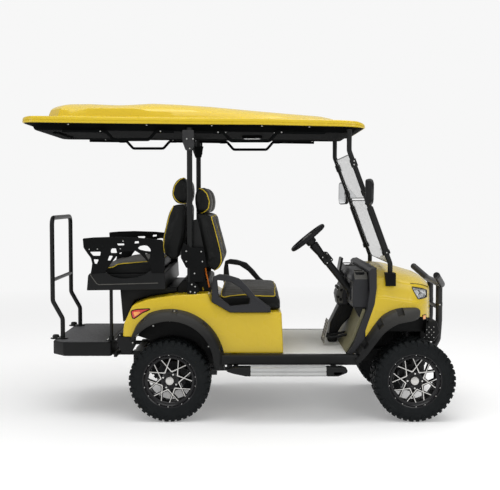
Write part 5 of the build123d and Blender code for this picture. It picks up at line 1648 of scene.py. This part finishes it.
def nose_guard():
    """Bull bar of thick tube with two cross tubes, collars on its uprights and foot plates."""
    x, top, r = FRONT_X + 254, 905.0, 24.0
    foot, face, collar_z = FRONT_X + 128, FRONT_X + 136, 752
    end_x, end_y, end_z = x - 76, 427, top + 80
    uprights = (-160, 160)
    hoop = [(end_x, -end_y, end_z), (x, -250, top), (x, 250, top), (end_x, end_y, end_z)]
    collar = [(-17, r - 1), (-17, r), (-14, r + 1.4), (14, r + 1.4), (17, r), (17, r - 1)]
    parts = [tube("guard_top", hoop, r, 90, GUNMETAL, 24)]
    for y in uprights:
        path = [(foot, y, 385), (FRONT_X + 186, y, 385), (x - 8, y, 500), (x + 1, y, 640), (x, y, top - 6)]
        parts += [tube("guard_upright", path, r, 60, GUNMETAL, 24),
                  turned("guard_collar", collar, (x + 0.4, y, collar_z), GUNMETAL, "Z", 32),
                  plate("guard_foot", [oblong(y - 42, y + 42, 352, 418, 8)], foot, face, 1.5, GUNMETAL,
                        "end")]
    for z in (726, 572):
        parts.append(tube("guard_cross", [(x + 1, y, z) for y in uprights], 15, 1, GUNMETAL, 16))
    for y in (-end_y, end_y):
        parts.append(turned("guard_end", [(-3, 0), (-3, r - 4), (0, r), (4, r), (4, 0)],
                            (end_x, y, end_z), TRIM, "Y", 24))
    heads = [((face, y + dy, z), (1, 0, 0)) for y in uprights for dy in (-33, 33) for z in (362, 408)]
    heads += [((x + 0.4, y * 1.16, collar_z), (0, y, 0)) for y in uprights]
    fitted(joined("nose_guard", [*parts, bolts("guard_bolts", heads, 7, 5)]), "frame_black", "bull_bar")


def door_mirrors():
    """Mirrors turned towards the driver: rounded housing, glass, stem and a clamp on the post."""
    low, high = span("mirrors")
    z = (low.z + high.z) / 2 - 6
    face = rounded([(x, z + up) for x, up in MIRROR_FACE], 22, 6)
    for hand, side, middle_x, turn, nodes in (
            ("left", 1, 832.0, 38.0, ["mirrors"]), ("right", -1, 861.0, -24.0, [])):
        rings = [[(depth, *p[:2]) for p in (grown_outline(face, -inset) if inset else face)]
                 for depth, inset in MIRROR_RINGS]
        shell = tidy(skin("mirror_shell", rings, TRIM))
        pane = plate("mirror_pane", [grown_outline(face, -8)], -0.8, 1.2, 0.3, MIRROR, "end")
        head = joined("mirror_head", [shell, pane])
        head.data.transform(Matrix.Translation(Vector((middle_x, side * 634, 0)) * MM)
                            @ Matrix.Rotation(math.radians(turn), 4, "Z"))
        share = (z - POST_FOOT.z) / POST_RISE.z
        post = (POST_FOOT.x + POST_RISE.x * share, side * POST_Y, z)
        stem = tube("mirror_stem", [post, (post[0] + 4, side * 560, z + 4), (middle_x + 20, side * 612, z)],
                    8, 20, STEEL, 12)
        reach = POST_RISE.normalized() * 19
        clamp = tube("mirror_clamp", [Vector(post) - reach, Vector(post) + reach], 22, 1, STEEL, 20)
        fitted(joined("mirror_" + hand, [head, stem, clamp]), "trim_black", *nodes)


def post_sleeves():
    """Clamps and foam sleeves on the windshield posts, with the screen's edge strips."""
    along = POST_RISE.normalized()
    parts, heads = [], []
    for side in (-1, 1):
        clamp, a, b = [POST_FOOT + POST_RISE * share + Vector((0, side * POST_Y, 0))
                       for share in (0.891, 0.10, 0.50)]
        for name, start, end, radius in (("screen_clamp", clamp - along * 27, clamp + along * 27, 23),
                                         ("screen_sleeve", a, b, 23),
                                         ("screen_sleeve_end", a - along * 14, a + along * 14, 28)):
            parts.append(tube(name, [start, end], radius, 1, STEEL, 20))
        heads += [((spot.x, side * y, spot.z + dz), (0, side, 0))
                  for spot, y, dz in ((clamp, 533, 12), (clamp, 533, -12), (a, 538, 0))]
    for share in (0.004, 0.56, 0.584, 0.97):
        spot = POST_FOOT + POST_RISE * share
        parts.append(tube("screen_edge", [(spot.x, -490, spot.z), (spot.x, 490, spot.z)], 4.5, 1, STEEL, 8))
    fitted(joined("screen_clamps", [*parts, bolts("clamp_bolts", heads, 6, 5)]), "frame_black")


nose_guard()
door_mirrors()
post_sleeves()


# ---- under the roof
def flat_lining(x):
    """Height of the roof lining's flat part."""
    return between([(roof_low.x, 1992.0), (roof_high.x, 1972.0)], x)


def roof_lining():
    """Moulded lining under the roof with four grab handles, a lamp, a rear flap and screws, and the
    heads of the posts that end in it."""
    rings = [edge_ring(inset, lambda x: low_lip(x) + rise, 40) for inset, rise in (
        (13, 8), (10, 4), (10, -1), (16, -4), (52, -7), (62, -11))]
    rings += [edge_ring(inset, lambda x: flat_lining(x) + rise, 40) for inset, rise in (
        (74, 6), (84, 0), (170, -3), (182, 4), (196, 4))]
    inside = rings[-1]
    rings += [[(x, y * (1 - share), z) for x, y, z in inside] for share in (0.4, 0.75, 1.0)]
    pan = tidy(skin("roof_lining_pan", rings, LINER, caps=(False, False)), 40)
    tidy(applied(pan, "SOLIDIFY", thickness=3 * MM, offset=-1.0), 34, False)
    parts, heads = [], []
    for start, bend, end, stop, low in ((-322, -104, 264, 590, 1913), (-1200, -905, -560, -440, 1922)):
        z = flat_lining((bend + end) / 2) - 6
        line = [(start, flat_lining(start) - 6), (bend, z), (bend + 52, low), (end - 52, low), (end, z),
                (stop, flat_lining(stop) - 6)]
        parts.append(tube("grab_handle", [(x, 510, height) for x, height in line], 10.5, 26, LINER, 14))
        for x in (bend - 34, end + 30):
            pad = oblong(x - 24, x + 24, 494, 526, 8)
            parts.append(plate("handle_pad", [pad], z - 12, z + 10, 3, LINER, "plan"))
            heads.append(((x, 526, z - 2), (0, 1, 0)))
    for x in (-1150, -620, -180, 160, 480):
        heads.append(((x, 556, low_lip(x) - 8), (0, 0, -1)))
        heads.append(((x + 90, 430, flat_lining(x) - 1), (0, 0, -1)))
    side = joined("roof_rails", parts + [bolts("roof_screws", heads, 6, 4)])
    z = flat_lining(95)
    made = joined("roof_lining", [
        pan, both_sides(side),
        bar("roof_rear_flap", (-1296, -300, 1985), (-1296, 300, 1985), 30, 14, LINER, 3),
        plate("roof_lamp", [oblong(20, 170, -62, 62, 26)], z - 14, z + 4, 4, LINER, "plan"),
        plate("roof_lamp_lens", [oblong(36, 154, -46, 46, 18)], z - 16, z - 10, 1.5, CLEAR, "plan")])
    fitted(made, "trim_black", "roof_liner")
    heads = [tube("post_head", [(x, y, 1915), (x, y, flat_lining(x) + 20)], radius, 1, STEEL, 20)
             for x, radius, y in ((REAR_X + 135, 19.6, 520), (756, 17.6, POST_Y))]
    fitted(both_sides(joined("post_heads", heads)), "frame_black")


roof_lining()


# ---- seat struts, tail and springs
STRUT_PLATE = [(92, 1230, 14), (132, 1187, 14), (232, 1187, 10), (251, 1053, 8), (232, 1049, 6),
               (232, 956, 8), (148, 948, 8), (136, 963, 8), (136, 1045, 6), (110, 1049, 10),
               (73, 1120, 16)]
STRUT_CLAMP = [(121, 944, 12), (147, 963, 14), (188, 933, 16), (203, 896, 14), (180, 866, 12), (151, 845, 10),
               (136, 866, 10), (110, 903, 14)]
BACK_PLATE = [(150, 1372, 10), (186, 1380, 8), (204, 1300, 10), (226, 1190, 8), (232, 1120, 8),
              (150, 1120, 8)]
ROOF_GUSSET = [(88, 1986, 8), (166, 1986, 8), (166, 1880, 14), (150, 1846, 16), (110, 1846, 16),
               (90, 1900, 14)]
# name, outline, corner radius, inner and outer side place, rounding of the edges, material
STRUT_PARTS = [
    ("strut_plate", STRUT_PLATE, 10, 539, 547, 2, PLATE_BLACK),
    ("strut_clamp", STRUT_CLAMP, 10, 538, 553, 4, PLATE_BLACK),
    ("strut_inner_plate", BACK_PLATE, 10, 488, 494, 1.5, STEEL),
    ("roof_gusset", ROOF_GUSSET, 8, 539, 545, 2, GUNMETAL)]
STRUT_BOLTS = [
    (547, [(112, 1162), (214, 1160), (112, 1092), (222, 1092), (168, 1010)]),
    (553, [(150, 935), (172, 920), (140, 885), (170, 880)]),
    (545, [(118, 1925), (160, 1925), (138, 1860)])]
CABLES = [
    ("cable_orange", ORANGE, 5.0, [(238, -430, 1036), (240, -402, 1000), (247, -398, 970), (253, -404, 944),
                                   (262, -430, 905)]),
    ("cable_yellow", PIPING, 4.5, [(190, -430, 996), (196, -402, 956), (204, -398, 934), (211, -404, 914),
                                   (222, -430, 884)])]


def strut_fittings():
    """Outer plates and foot clamps of the struts, the plates behind the seat backs, and the cables."""
    parts = [plate(name, [rounded(rear(outline), radius)], low, high, edge, material)
             for name, outline, radius, low, high, edge, material in STRUT_PARTS]
    heads = [head for y, spots in STRUT_BOLTS for head in side_heads(rear(spots), y)]
    parts.append(bolts("strut_bolts", heads, 6.5, 5))
    fitted(both_sides(joined("strut_fittings", parts)), "frame_black")
    for name, material, radius, path in CABLES:
        fitted(tube(name, rear(path), radius, 14, material, 10), "frame_black")


def tail_lamps():
    """Tail lamps: dark surround, red glass and an amber middle."""
    def inset(amount):
        corner = max(2, 9 - amount * 0.5)
        return rounded([(*p, corner) for p in grown_outline(rear(TAIL_LAMP), -amount)], 6)

    middle = rounded(rear([(-250, 742, 6), (-240, 748, 6), (-192, 749, 8), (-242, 712, 8)]), 6)
    parts = [plate("tail_lamp_surround", [inset(1.0)], 500, 559, 2.5, TRIM),
             plate("tail_lamp_red", [inset(7.0)], 520, 562, 2.0, RED),
             plate("tail_lamp_amber", [middle], 530, 563.5, 1.2, AMBER)]
    fitted(both_sides(joined("tail_lamp", parts)), "lamp_red", "tail_lights")


def tail_fittings():
    """Bolts and end buttons of the tail caps, and flanges at the feet of the grab bar."""
    x = REAR_X - 343
    button = turned("tail_button", [(-12, 0), (-12, 14), (8, 15), (12, 12), (13, 6), (10.5, 5), (10, 0)],
                    (x, 553, 588), TRIM, sides=24)
    heads = side_heads(rear([(-247, 566), (-256, 536)]), 561) + [((x, 563, 588), (0, 1, 0), 0.7)]
    fitted(both_sides(joined("tail_fittings", [button, bolts("tail_bolts", heads, 6, 4)])), "trim_black")
    foot = span("grab_bar")[0]
    flange = [(0, 17), (0, 38), (5, 38), (7, 36), (8, 26), (26, 22), (29, 17)]
    parts, heads = [], []
    for y in (-320, 320):
        parts.append(turned("grab_bar_flange", flange, (foot.x + 36, y, foot.z), STEEL, "Z", 32))
        for k in range(4):
            a = math.radians(45 + 90 * k)
            heads.append(((foot.x + 36 + 30 * math.cos(a), y + 30 * math.sin(a), foot.z + 7), (0, 0, 1)))
    fitted(joined("grab_bar_flanges", [*parts, bolts("grab_bar_bolts", heads, 5, 4)]), "frame_black")


def step_tubes():
    """Tubes that carry the foot step, with its stays up to the seat base."""
    step_low, step_high = span("rear_step")
    high = span("step_frame")[1]
    z, top = step_low.z - 16.5, step_high.z
    x, y = step_high.x - 11, high.y - 12
    heads = [((x + dx, y + dy, top + 7), (0, 0, 1)) for dx in (-24, 36) for dy in (-20, 20)]
    parts = [
        tube("step_arm", [(high.x, 225, z), (step_low.x + 60, 225, z)], 16, 1, STEEL, 16),
        block("step_hanger", (step_high.x - 300, 209, z), (step_high.x - 270, 241, step_low.z + 2), 3, STEEL),
        block("step_link", (step_high.x + 6, 209, z), (step_high.x + 28, y + 14, step_low.z + 24), 3, STEEL),
        tube("step_stay", [(x, y, top), (x, y, high.z)], 12, 1, STEEL, 16),
        block("stay_foot", (x - 34, y - 30, top - 1), (x + 46, y + 30, top + 7), 3, STEEL),
        turned("stay_collar", [(0, 12), (0, 20), (24, 17), (28, 12)], (x, y, top + 6), STEEL, "Z", 24),
        bolts("stay_bolts", heads, 5.5, 5)]
    fitted(both_sides(joined("step_tubes", parts)), "frame_black", "step_frame")


def coil_overs():
    """Dampers with their springs and spring seats."""
    parts, rows = [], []
    for foot, head in (((FRONT_X, 322, 236), (FRONT_X, 226, 602)), ((REAR_X, 318, 329), (REAR_X, 318, 620))):
        foot, head = Vector(foot), Vector(head)
        run = head - foot
        parts += [tube("damper_rod", [foot, foot + run * 0.6], 13, 1, DAMPER, 16),
                  tube("damper_body", [foot + run * 0.52, head], 21, 1, DAMPER, 20)]
        for share in (0.10, 0.89):
            spot, seat = foot + run * share, run.normalized() * 4
            parts.append(tube("spring_seat", [spot - seat, spot + seat], 34, 1, STEEL, 24))
        rows.append((foot + run * 0.12, run * 0.75 * MM, 1.0))
    coils = grown(marks("coil_springs", rows), COILS, COIL, Coil_Radius=29 * MM, Wire=5.2 * MM, Turns=7.5)
    fitted(both_sides(joined("coil_overs", [*parts, tidy(coils, 40, False)])), "frame_black", "springs")


strut_fittings()
tail_lamps()
tail_fittings()
step_tubes()
coil_overs()


# ---- cabin
wheel_low, wheel_high = span("steering_wheel")
HUB = Vector((FRONT_X - 711, (wheel_low.y + wheel_high.y) / 2, 1243))
RAKE = math.radians(39.0)
HUB_PAD = [(-12, 0), (-12, 30), (-6, 41), (5, 44), (11, 40), (15, 28), (16, 0)]
BOSS = [(-62, 0), (-62, 24), (-53, 25), (-53, 33), (-46, 37), (-18, 39), (-8, 32), (-8, 0)]
SHROUD = [(-540, 0), (-540, 26), (-232, 25), (-228, 29), (-150, 28), (-146, 26), (-70, 34), (-62, 33),
          (-58, 26), (-58, 0)]
BOOT = [(-552, 0), (-552, 40), (-532, 44), (-520, 36), (-508, 40), (-496, 32), (-484, 36), (-470, 27),
        (-466, 0)]
KNOB = [(-10, 0), (-10, 7), (-4, 10), (8, 10), (14, 6), (15, 0)]
DASH_HALF = span("dashboard")[1].y
# The dashboard's section at side places counted in from its ends: (side, drop of the top, inset)
DASH_ENDS = [(0, 46, 5), (5, 40, 0), (60, 3, 0), (66, 0, 0)]
CHEEK = [(-430, 955), (-485, 828), (-484, 796), (-470, 752), (-438, 756), (-446, 812), (-416, 930)]
TUNNEL = [(-458, 748), (-360, 748), (-351, 680), (-436, 592), (-468, 545), (-478, 462), (-548, 462),
          (-536, 546), (-529, 603)]
# Upper and lower edge of the console's switch face, and the way it looks
FACE_TOP, FACE_LOW = Vector((FRONT_X - 424, 0, 962)), Vector((FRONT_X - 490, 0, 812))
FACE_OUT = Vector((-0.913, 0, 0.407))


def on_column(made):
    """Turns a piece drawn round the column, counted up from the wheel's hub, to its place."""
    made.data.transform(Matrix.Translation(HUB * MM) @ Matrix.Rotation(-RAKE, 4, "Y"))
    return made


def steering():
    """Steering wheel with a stitched rim and inlaid spokes, and its column in shrouds."""
    def ring(radius, height):
        turns = [k * math.pi / 36 for k in range(72)]
        return [(radius * math.cos(a), radius * math.sin(a), height) for a in turns]

    parts = [beads("wheel_rim", [ring(132, 0)], 15.5, GRIP, 18, True),
             grown(line_mesh("rim_stitches", [(ring(117, 3), True)]), STITCHES, STITCH_GREY,
                   Pitch=0.009, Thread=0.001)]
    for across, along in ((0, 1), (-1, 0), (0, -1)):
        way = Vector((across, along, 0))
        for name, near, low, far, high, width, depth, material, edge in (
                ("wheel_spoke", 20, -10, 122, -3, 38, 10, TRIM, 3),
                ("spoke_inlay", 40, -2, 112, 4, 20, 5, CONSOLE_GREY, 2)):
            parts.append(bar(name, way * near + Vector((0, 0, low)), way * far + Vector((0, 0, high)),
                             width, depth, material, edge))
    parts += [turned("hub_pad", HUB_PAD, (0, 0, 0), CONSOLE_GREY, "Z", 40),
              turned("wheel_boss", BOSS, (0, 0, 0), TRIM, "Z", 40)]
    made = on_column(joined("steering_wheel_dressed", parts))
    fitted(made, "grip_black", "steering_wheel", body="steering_wheel")
    heads = [((x, side * 32, z), (0, side, 0)) for side in (-1, 1) for x in (-6, 32) for z in (-172, -224)]
    column = joined("column_dressed", [
        turned("column_shroud", SHROUD, (0, 0, 0), TRIM, "Z", 32),
        turned("column_boot", BOOT, (0, 0, 0), TRIM, "Z", 32),
        bar("tilt_box", (13, 0, -158), (13, 0, -238), 64, 62, TRIM, 8, (1, 0, 0)),
        tube("tilt_lever", [(14, -28, -196), (14, -58, -190), (22, -92, -160)], 5, 12, TRIM, 10),
        turned("lever_knob", KNOB, (23, -96, -156), TRIM, "Z", 16),
        bolts("tilt_bolts", heads, 6, 5)])
    fitted(on_column(column), "trim_black", "steering_column")


def dash_body():
    """The dashboard's moulding, the sloped facets at its ends in lighter grey as painted light, its trays cut
    in, their rims and ribs, and its seam.
    """
    x, half = FRONT_X, DASH_HALF
    rings = []
    sections = [(side - half, drop, inset) for side, drop, inset in DASH_ENDS]
    for y, drop, inset in sections + [(-y, drop, inset) for y, drop, inset in sections[::-1]]:
        outline = front([(inset - 416, 772 + inset), (inset - 413, 984 - drop), (-401, 1012 - drop),
                         (-308 - inset, 1012 - drop), (-305 - inset, 768 + inset)])
        rings.append([(px, y, pz) for px, pz in rounded(outline, 9)])
    body = tidy(skin("dash_moulding", rings, DASH), 24)
    body.data.materials.append(CONSOLE_GREY)
    # Painted light: faces that lean up and outwards at the dashboard's ends get the lighter grey, where the
    # light falls on them.
    for face in body.data.polygons:
        face.material_index = int(abs(face.normal.y) > 0.3 and face.normal.z > 0.5)
    cuts = [((x - 392, 36 - half, 972), (x - 328, 196 - half, 1030)),
            ((x - 392, 140, 972), (x - 328, half - 44, 1030)),
            ((x - 430, 162, 802), (x - 344, half - 62, 918)),
            ((x - 430, 72 - half, 806), (x - 350, -330, 900))]
    rims = [[(a, b, 1012) for a, b in oblong(x - 394, x - 326, y0, y1, 16, 5)]
            for y0, y1 in ((64 - half, 198 - half), (138, half - 62))]
    seam = [(x - 417, 14 - half, 944), (x - 417, half - 14, 944)]
    ribs = [bar("tray_rib", (x - 388, y, 975), (x - 332, y, 975), 4, 5, DASH, 1)
            for y in [76 - half + 15 * k for k in range(8)]]
    return [carved(body, *[block("dash_cut", low, high, 8, DASH) for low, high in cuts]),
            beads("tray_rims", rims, 4, CONSOLE_GREY, closed=True),
            beads("dash_seam", [seam], 2.4, CONSOLE_GREY)], ribs


def console_fittings():
    """Switches, sockets and knobs on the console's face and on its cheeks, and bolts in the dashboard."""
    def on_face(share, y):
        return FACE_TOP.lerp(FACE_LOW, share) + Vector((0, y, 0))

    parts = []
    for y in (-66, -33, 0, 33, 66):
        spot = on_face(0.28, y)
        parts += [bar("switch_frame", spot - FACE_OUT * 3, spot + FACE_OUT * 2, 28, 38, TRIM, 1.5),
                  bar("switch", spot, spot + FACE_OUT * 6, 20, 30, CONSOLE_GREY, 1.5)]
    knobs = [(on_face(0.66, y) + FACE_OUT * 2, FACE_OUT) for y in (-58, -20, 20, 58)]
    cheek_knobs = [((FRONT_X + dx, side * 109, z), (0, side, 0)) for side in (-1, 1)
                   for dx, z in ((-476, 800), (-456, 782), (-452, 850))]
    heads = [((FRONT_X - 416, y, z), (-1, 0, 0)) for y in (-200, -140, 130) for z in (800, 980)]
    return parts + [
        bar("socket_plate", on_face(0.66, -84), on_face(0.66, 84), 4, 52, TRIM, 1.5, (0.407, 0, 0.913)),
        bolts("console_knobs", knobs, 14, 14, TRIM), bolts("key_rings", knobs, 17, 3),
        bolts("cheek_knobs", cheek_knobs, 11, 9, TRIM), bolts("dash_bolts", heads, 6, 4, TRIM)]


def display():
    """The display over the console: its case, bezel, glass and stem."""
    x, lean = FRONT_X, (0.18, 0, 0.98)
    case = rounded(front([(-450, 1084), (-436, 1086), (-457, 964), (-472, 966)]), 4)
    stem = rounded(front([(-462, 990), (-440, 992), (-408, 930), (-424, 930)]), 4)
    return [
        plate("display_case", [case], -88, 88, 4, TRIM),
        bar("display_frame", (x - 459.6, -86, 1026), (x - 459.6, 86, 1026), 4, 112, CONSOLE_GREY, 1.5, lean),
        bar("display_glass", (x - 461, -80, 1026), (x - 461, 80, 1026), 3, 100, SCREEN, 1, lean),
        plate("display_stem", [stem], -40, 40, 4, TRIM)]


def cabin_front():
    """Dashboard with its trays, centre console with switches, the display and the kick tunnel."""
    body, ribs = dash_body()
    face = rounded(front([(-405, 988), (-424, 962), (-490, 812), (-476, 736), (-405, 745)]), 10)
    cheek = plate("console_cheek", [rounded(front(CHEEK), 8)], 102, 109, 2, CONSOLE_GREY)
    bracket = rounded(front([(-404, 770), (-318, 778), (-326, 736), (-359, 684)]), 6)
    parts = [*body, plate("console", [face], -104, 104, 8, DASH, steps=3), both_sides(cheek), *ribs,
             *console_fittings(), *display(),
             plate("dash_bracket", [bracket], 8 - DASH_HALF, 60 - DASH_HALF, 4, TRIM)]
    fitted(joined("dashboard_dressed", parts), "dash_black", "dashboard")
    lines = [front([(s - 470, -70.5, 735), (s - 520, -70.5, 610), (s - 525, -70.5, 560)]) for s in (22, 40)]
    parts = [plate("kick_tunnel", [rounded(front(TUNNEL), 14)], -70, 90, 8, TRIM, steps=3),
             beads("tunnel_ribs", lines, 2.4, TRIM)]
    fitted(joined("kick_tunnel", parts), "trim_black")


def foot_pedals():
    """Brake and drive pedals: plates with rubber ribs, on bent arms."""
    parts, x = [], FRONT_X
    for y, width, low, high in ((-220, 90, 482, 644), (-92, 62, 480, 640)):
        foot, top = Vector((x - 594, y, low)), Vector((x - 556, y, high))
        up = (top - foot).normalized()
        out, half = Vector((-up.z, 0, up.x)), Vector((0, width * 0.4, 0))
        parts.append(bar("pedal_plate", foot, top, width, 9, PEDAL, 2.5, out))
        for k in range(7):
            spot = foot.lerp(top, 0.1 + 0.13 * k) + out * 4.5
            parts.append(bar("pedal_rib", spot - half, spot + half, 5, 7, TRIM, 1.5, (up.x, 0, up.z)))
        parts += [
            tube("pedal_arm", [(x - 582, y, 530), (x - 520, y, 520), (x - 420, y, 540)], 9, 30, STEEL, 12),
            bar("pedal_bracket", (x - 586, y, 505), (x - 576, y, 556), 40, 12, STEEL, 2, (1, 0, 0)),
            bolts("pedal_bolts", [((x - 590, y + s, 524), out) for s in (-14, 14)], 6, 4)]
    fitted(joined("pedals_dressed", parts), "pedal_grey", "pedals")


steering()
cabin_front()
foot_pedals()


# ---- finishes of the frame's own nodes
NODE_FINISHES = {
    "chassis_frame": STEEL, "front_suspension": CAST, "rear_axle": CAST, "springs": DAMPER,
    # The firewall takes the olive brown, yellow darkened as painted shade; the floor pan's mat has painted
    # shade in its grooves.
    "battery": BATTERY, "floor_pan": MAT, "cowl_trim": DASH, "firewall": FIREWALL_PAINTED_SHADE, "dashboard": DASH,
    "pedals": PEDAL, "steering_column": TRIM, "steering_wheel": GRIP, "strut_brackets": PLATE_BLACK,
    "roof_struts": STEEL, "step_frame": STEEL, "grab_bar": STEEL, "bull_bar": GUNMETAL,
    "windshield": GLASS, "roof_liner": LINER, "mirrors": TRIM, "knuckle_left": CAST, "knuckle_right": CAST,
    "tail_lights": RED, "tail_caps": TRIM, "headlights": CLEAR, "side_sills": TRIM, "rear_seat_base": TRIM,
}
for node_name, finish in NODE_FINISHES.items():
    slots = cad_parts[node_name].data.materials
    slots.clear()
    slots.append(finish)


# ---- floor, light and camera
# Places and sizes of the lamps and the camera are metres, as Blender has them.
SKY_LIGHT = 0.62           # even light from all round
BACKGROUND = 0.93          # and how bright the surroundings look
FLOOR_GLOW = 0.22          # light of the floor's own near the vehicle
FLOOR_HALF = 60.0 / MM
FADE_NEAR, FADE_FAR = 2.5, 9.0        # where the floor starts and ends to fade
# name, place, target, size, power in watts
SOFTBOXES = [
    ("top_light", (0.3, -0.5, 5.4), (0, 0, 0.5), (6.0, 4.2), 165),
    ("front_light", (3.5, -6.0, 3.6), (0.4, 0, 0.9), (3.0, 2.4), 60),
    ("left_light", (-5.5, -4.5, 3.2), (-0.2, 0, 0.9), (2.4, 2.4), 40)]
CAMERA_PLACE, CAMERA_DOWN = (0.079, -6.514, 1.511), 2.94      # degrees below level
SENSOR, LENS = 36.0, 63.07                                    # millimetres


def studio_floor():
    """Plain pale floor that fades into the pale surroundings."""
    pale = Finish("studio_floor", (0.84, 0.84, 0.838), 0.9, Specular_IOR_Level=0.0)
    away = pale.node("ShaderNodeVectorMath", "Value", {0: pale.place}, operation="LENGTH")
    far = pale.levels(away, FADE_NEAR, FADE_FAR)
    pale.tint(pale.levels(pale.noise(0.6), 0.4, 0.7, 0.0, 0.1), (0.82, 0.82, 0.818))
    pale.tint(far, (0.0, 0.0, 0.0))
    pale.shader.inputs["Emission Color"].default_value = (1.0, 1.0, 1.0, 1.0)
    glow = pale.levels(far, 0.0, 1.0, FLOOR_GLOW, BACKGROUND)
    pale.links.new(glow, pale.shader.inputs["Emission Strength"])
    e = FLOOR_HALF
    corners = [(-e, -e, 0), (e, -e, 0), (e, e, 0), (-e, e, 0)]
    add_mesh("studio_floor", corners, [(0, 1, 2, 3)], pale.material)


def surroundings():
    """White all round, a little brighter to the camera than it lights the vehicle."""
    world = bpy.data.worlds.new("studio")
    bpy.context.scene.world = world
    world.use_nodes = True
    nodes, links = world.node_tree.nodes, world.node_tree.links
    sky, path = nodes["Background"], nodes.new("ShaderNodeLightPath")
    strength = nodes.new("ShaderNodeMapRange")
    strength.inputs["To Min"].default_value = SKY_LIGHT
    strength.inputs["To Max"].default_value = BACKGROUND
    links.new(path.outputs["Is Camera Ray"], strength.inputs["Value"])
    links.new(strength.outputs["Result"], sky.inputs["Strength"])
    sky.inputs["Color"].default_value = (1.0, 1.0, 1.0, 1.0)


def light_and_camera():
    """Soft light from above, from the front and from the left, and the camera."""
    for name, place, target, spread, power in SOFTBOXES:
        lamp = bpy.data.lights.new(name, "AREA")
        lamp.shape = "RECTANGLE"
        lamp.size, lamp.size_y = spread
        lamp.energy = power
        made = placed(name, lamp)
        made.location = place
        made.rotation_euler = (Vector(target) - Vector(place)).to_track_quat("-Z", "Y").to_euler()
    lens = bpy.data.cameras.new("camera")
    lens.sensor_width, lens.lens = SENSOR, LENS
    camera = placed("camera", lens)
    camera.location = CAMERA_PLACE
    camera.rotation_euler = (math.radians(90 - CAMERA_DOWN), 0.0, 0.0)
    bpy.context.scene.camera = camera
    bpy.context.scene.view_settings.view_transform = "Standard"


studio_floor()
surroundings()
light_and_camera()
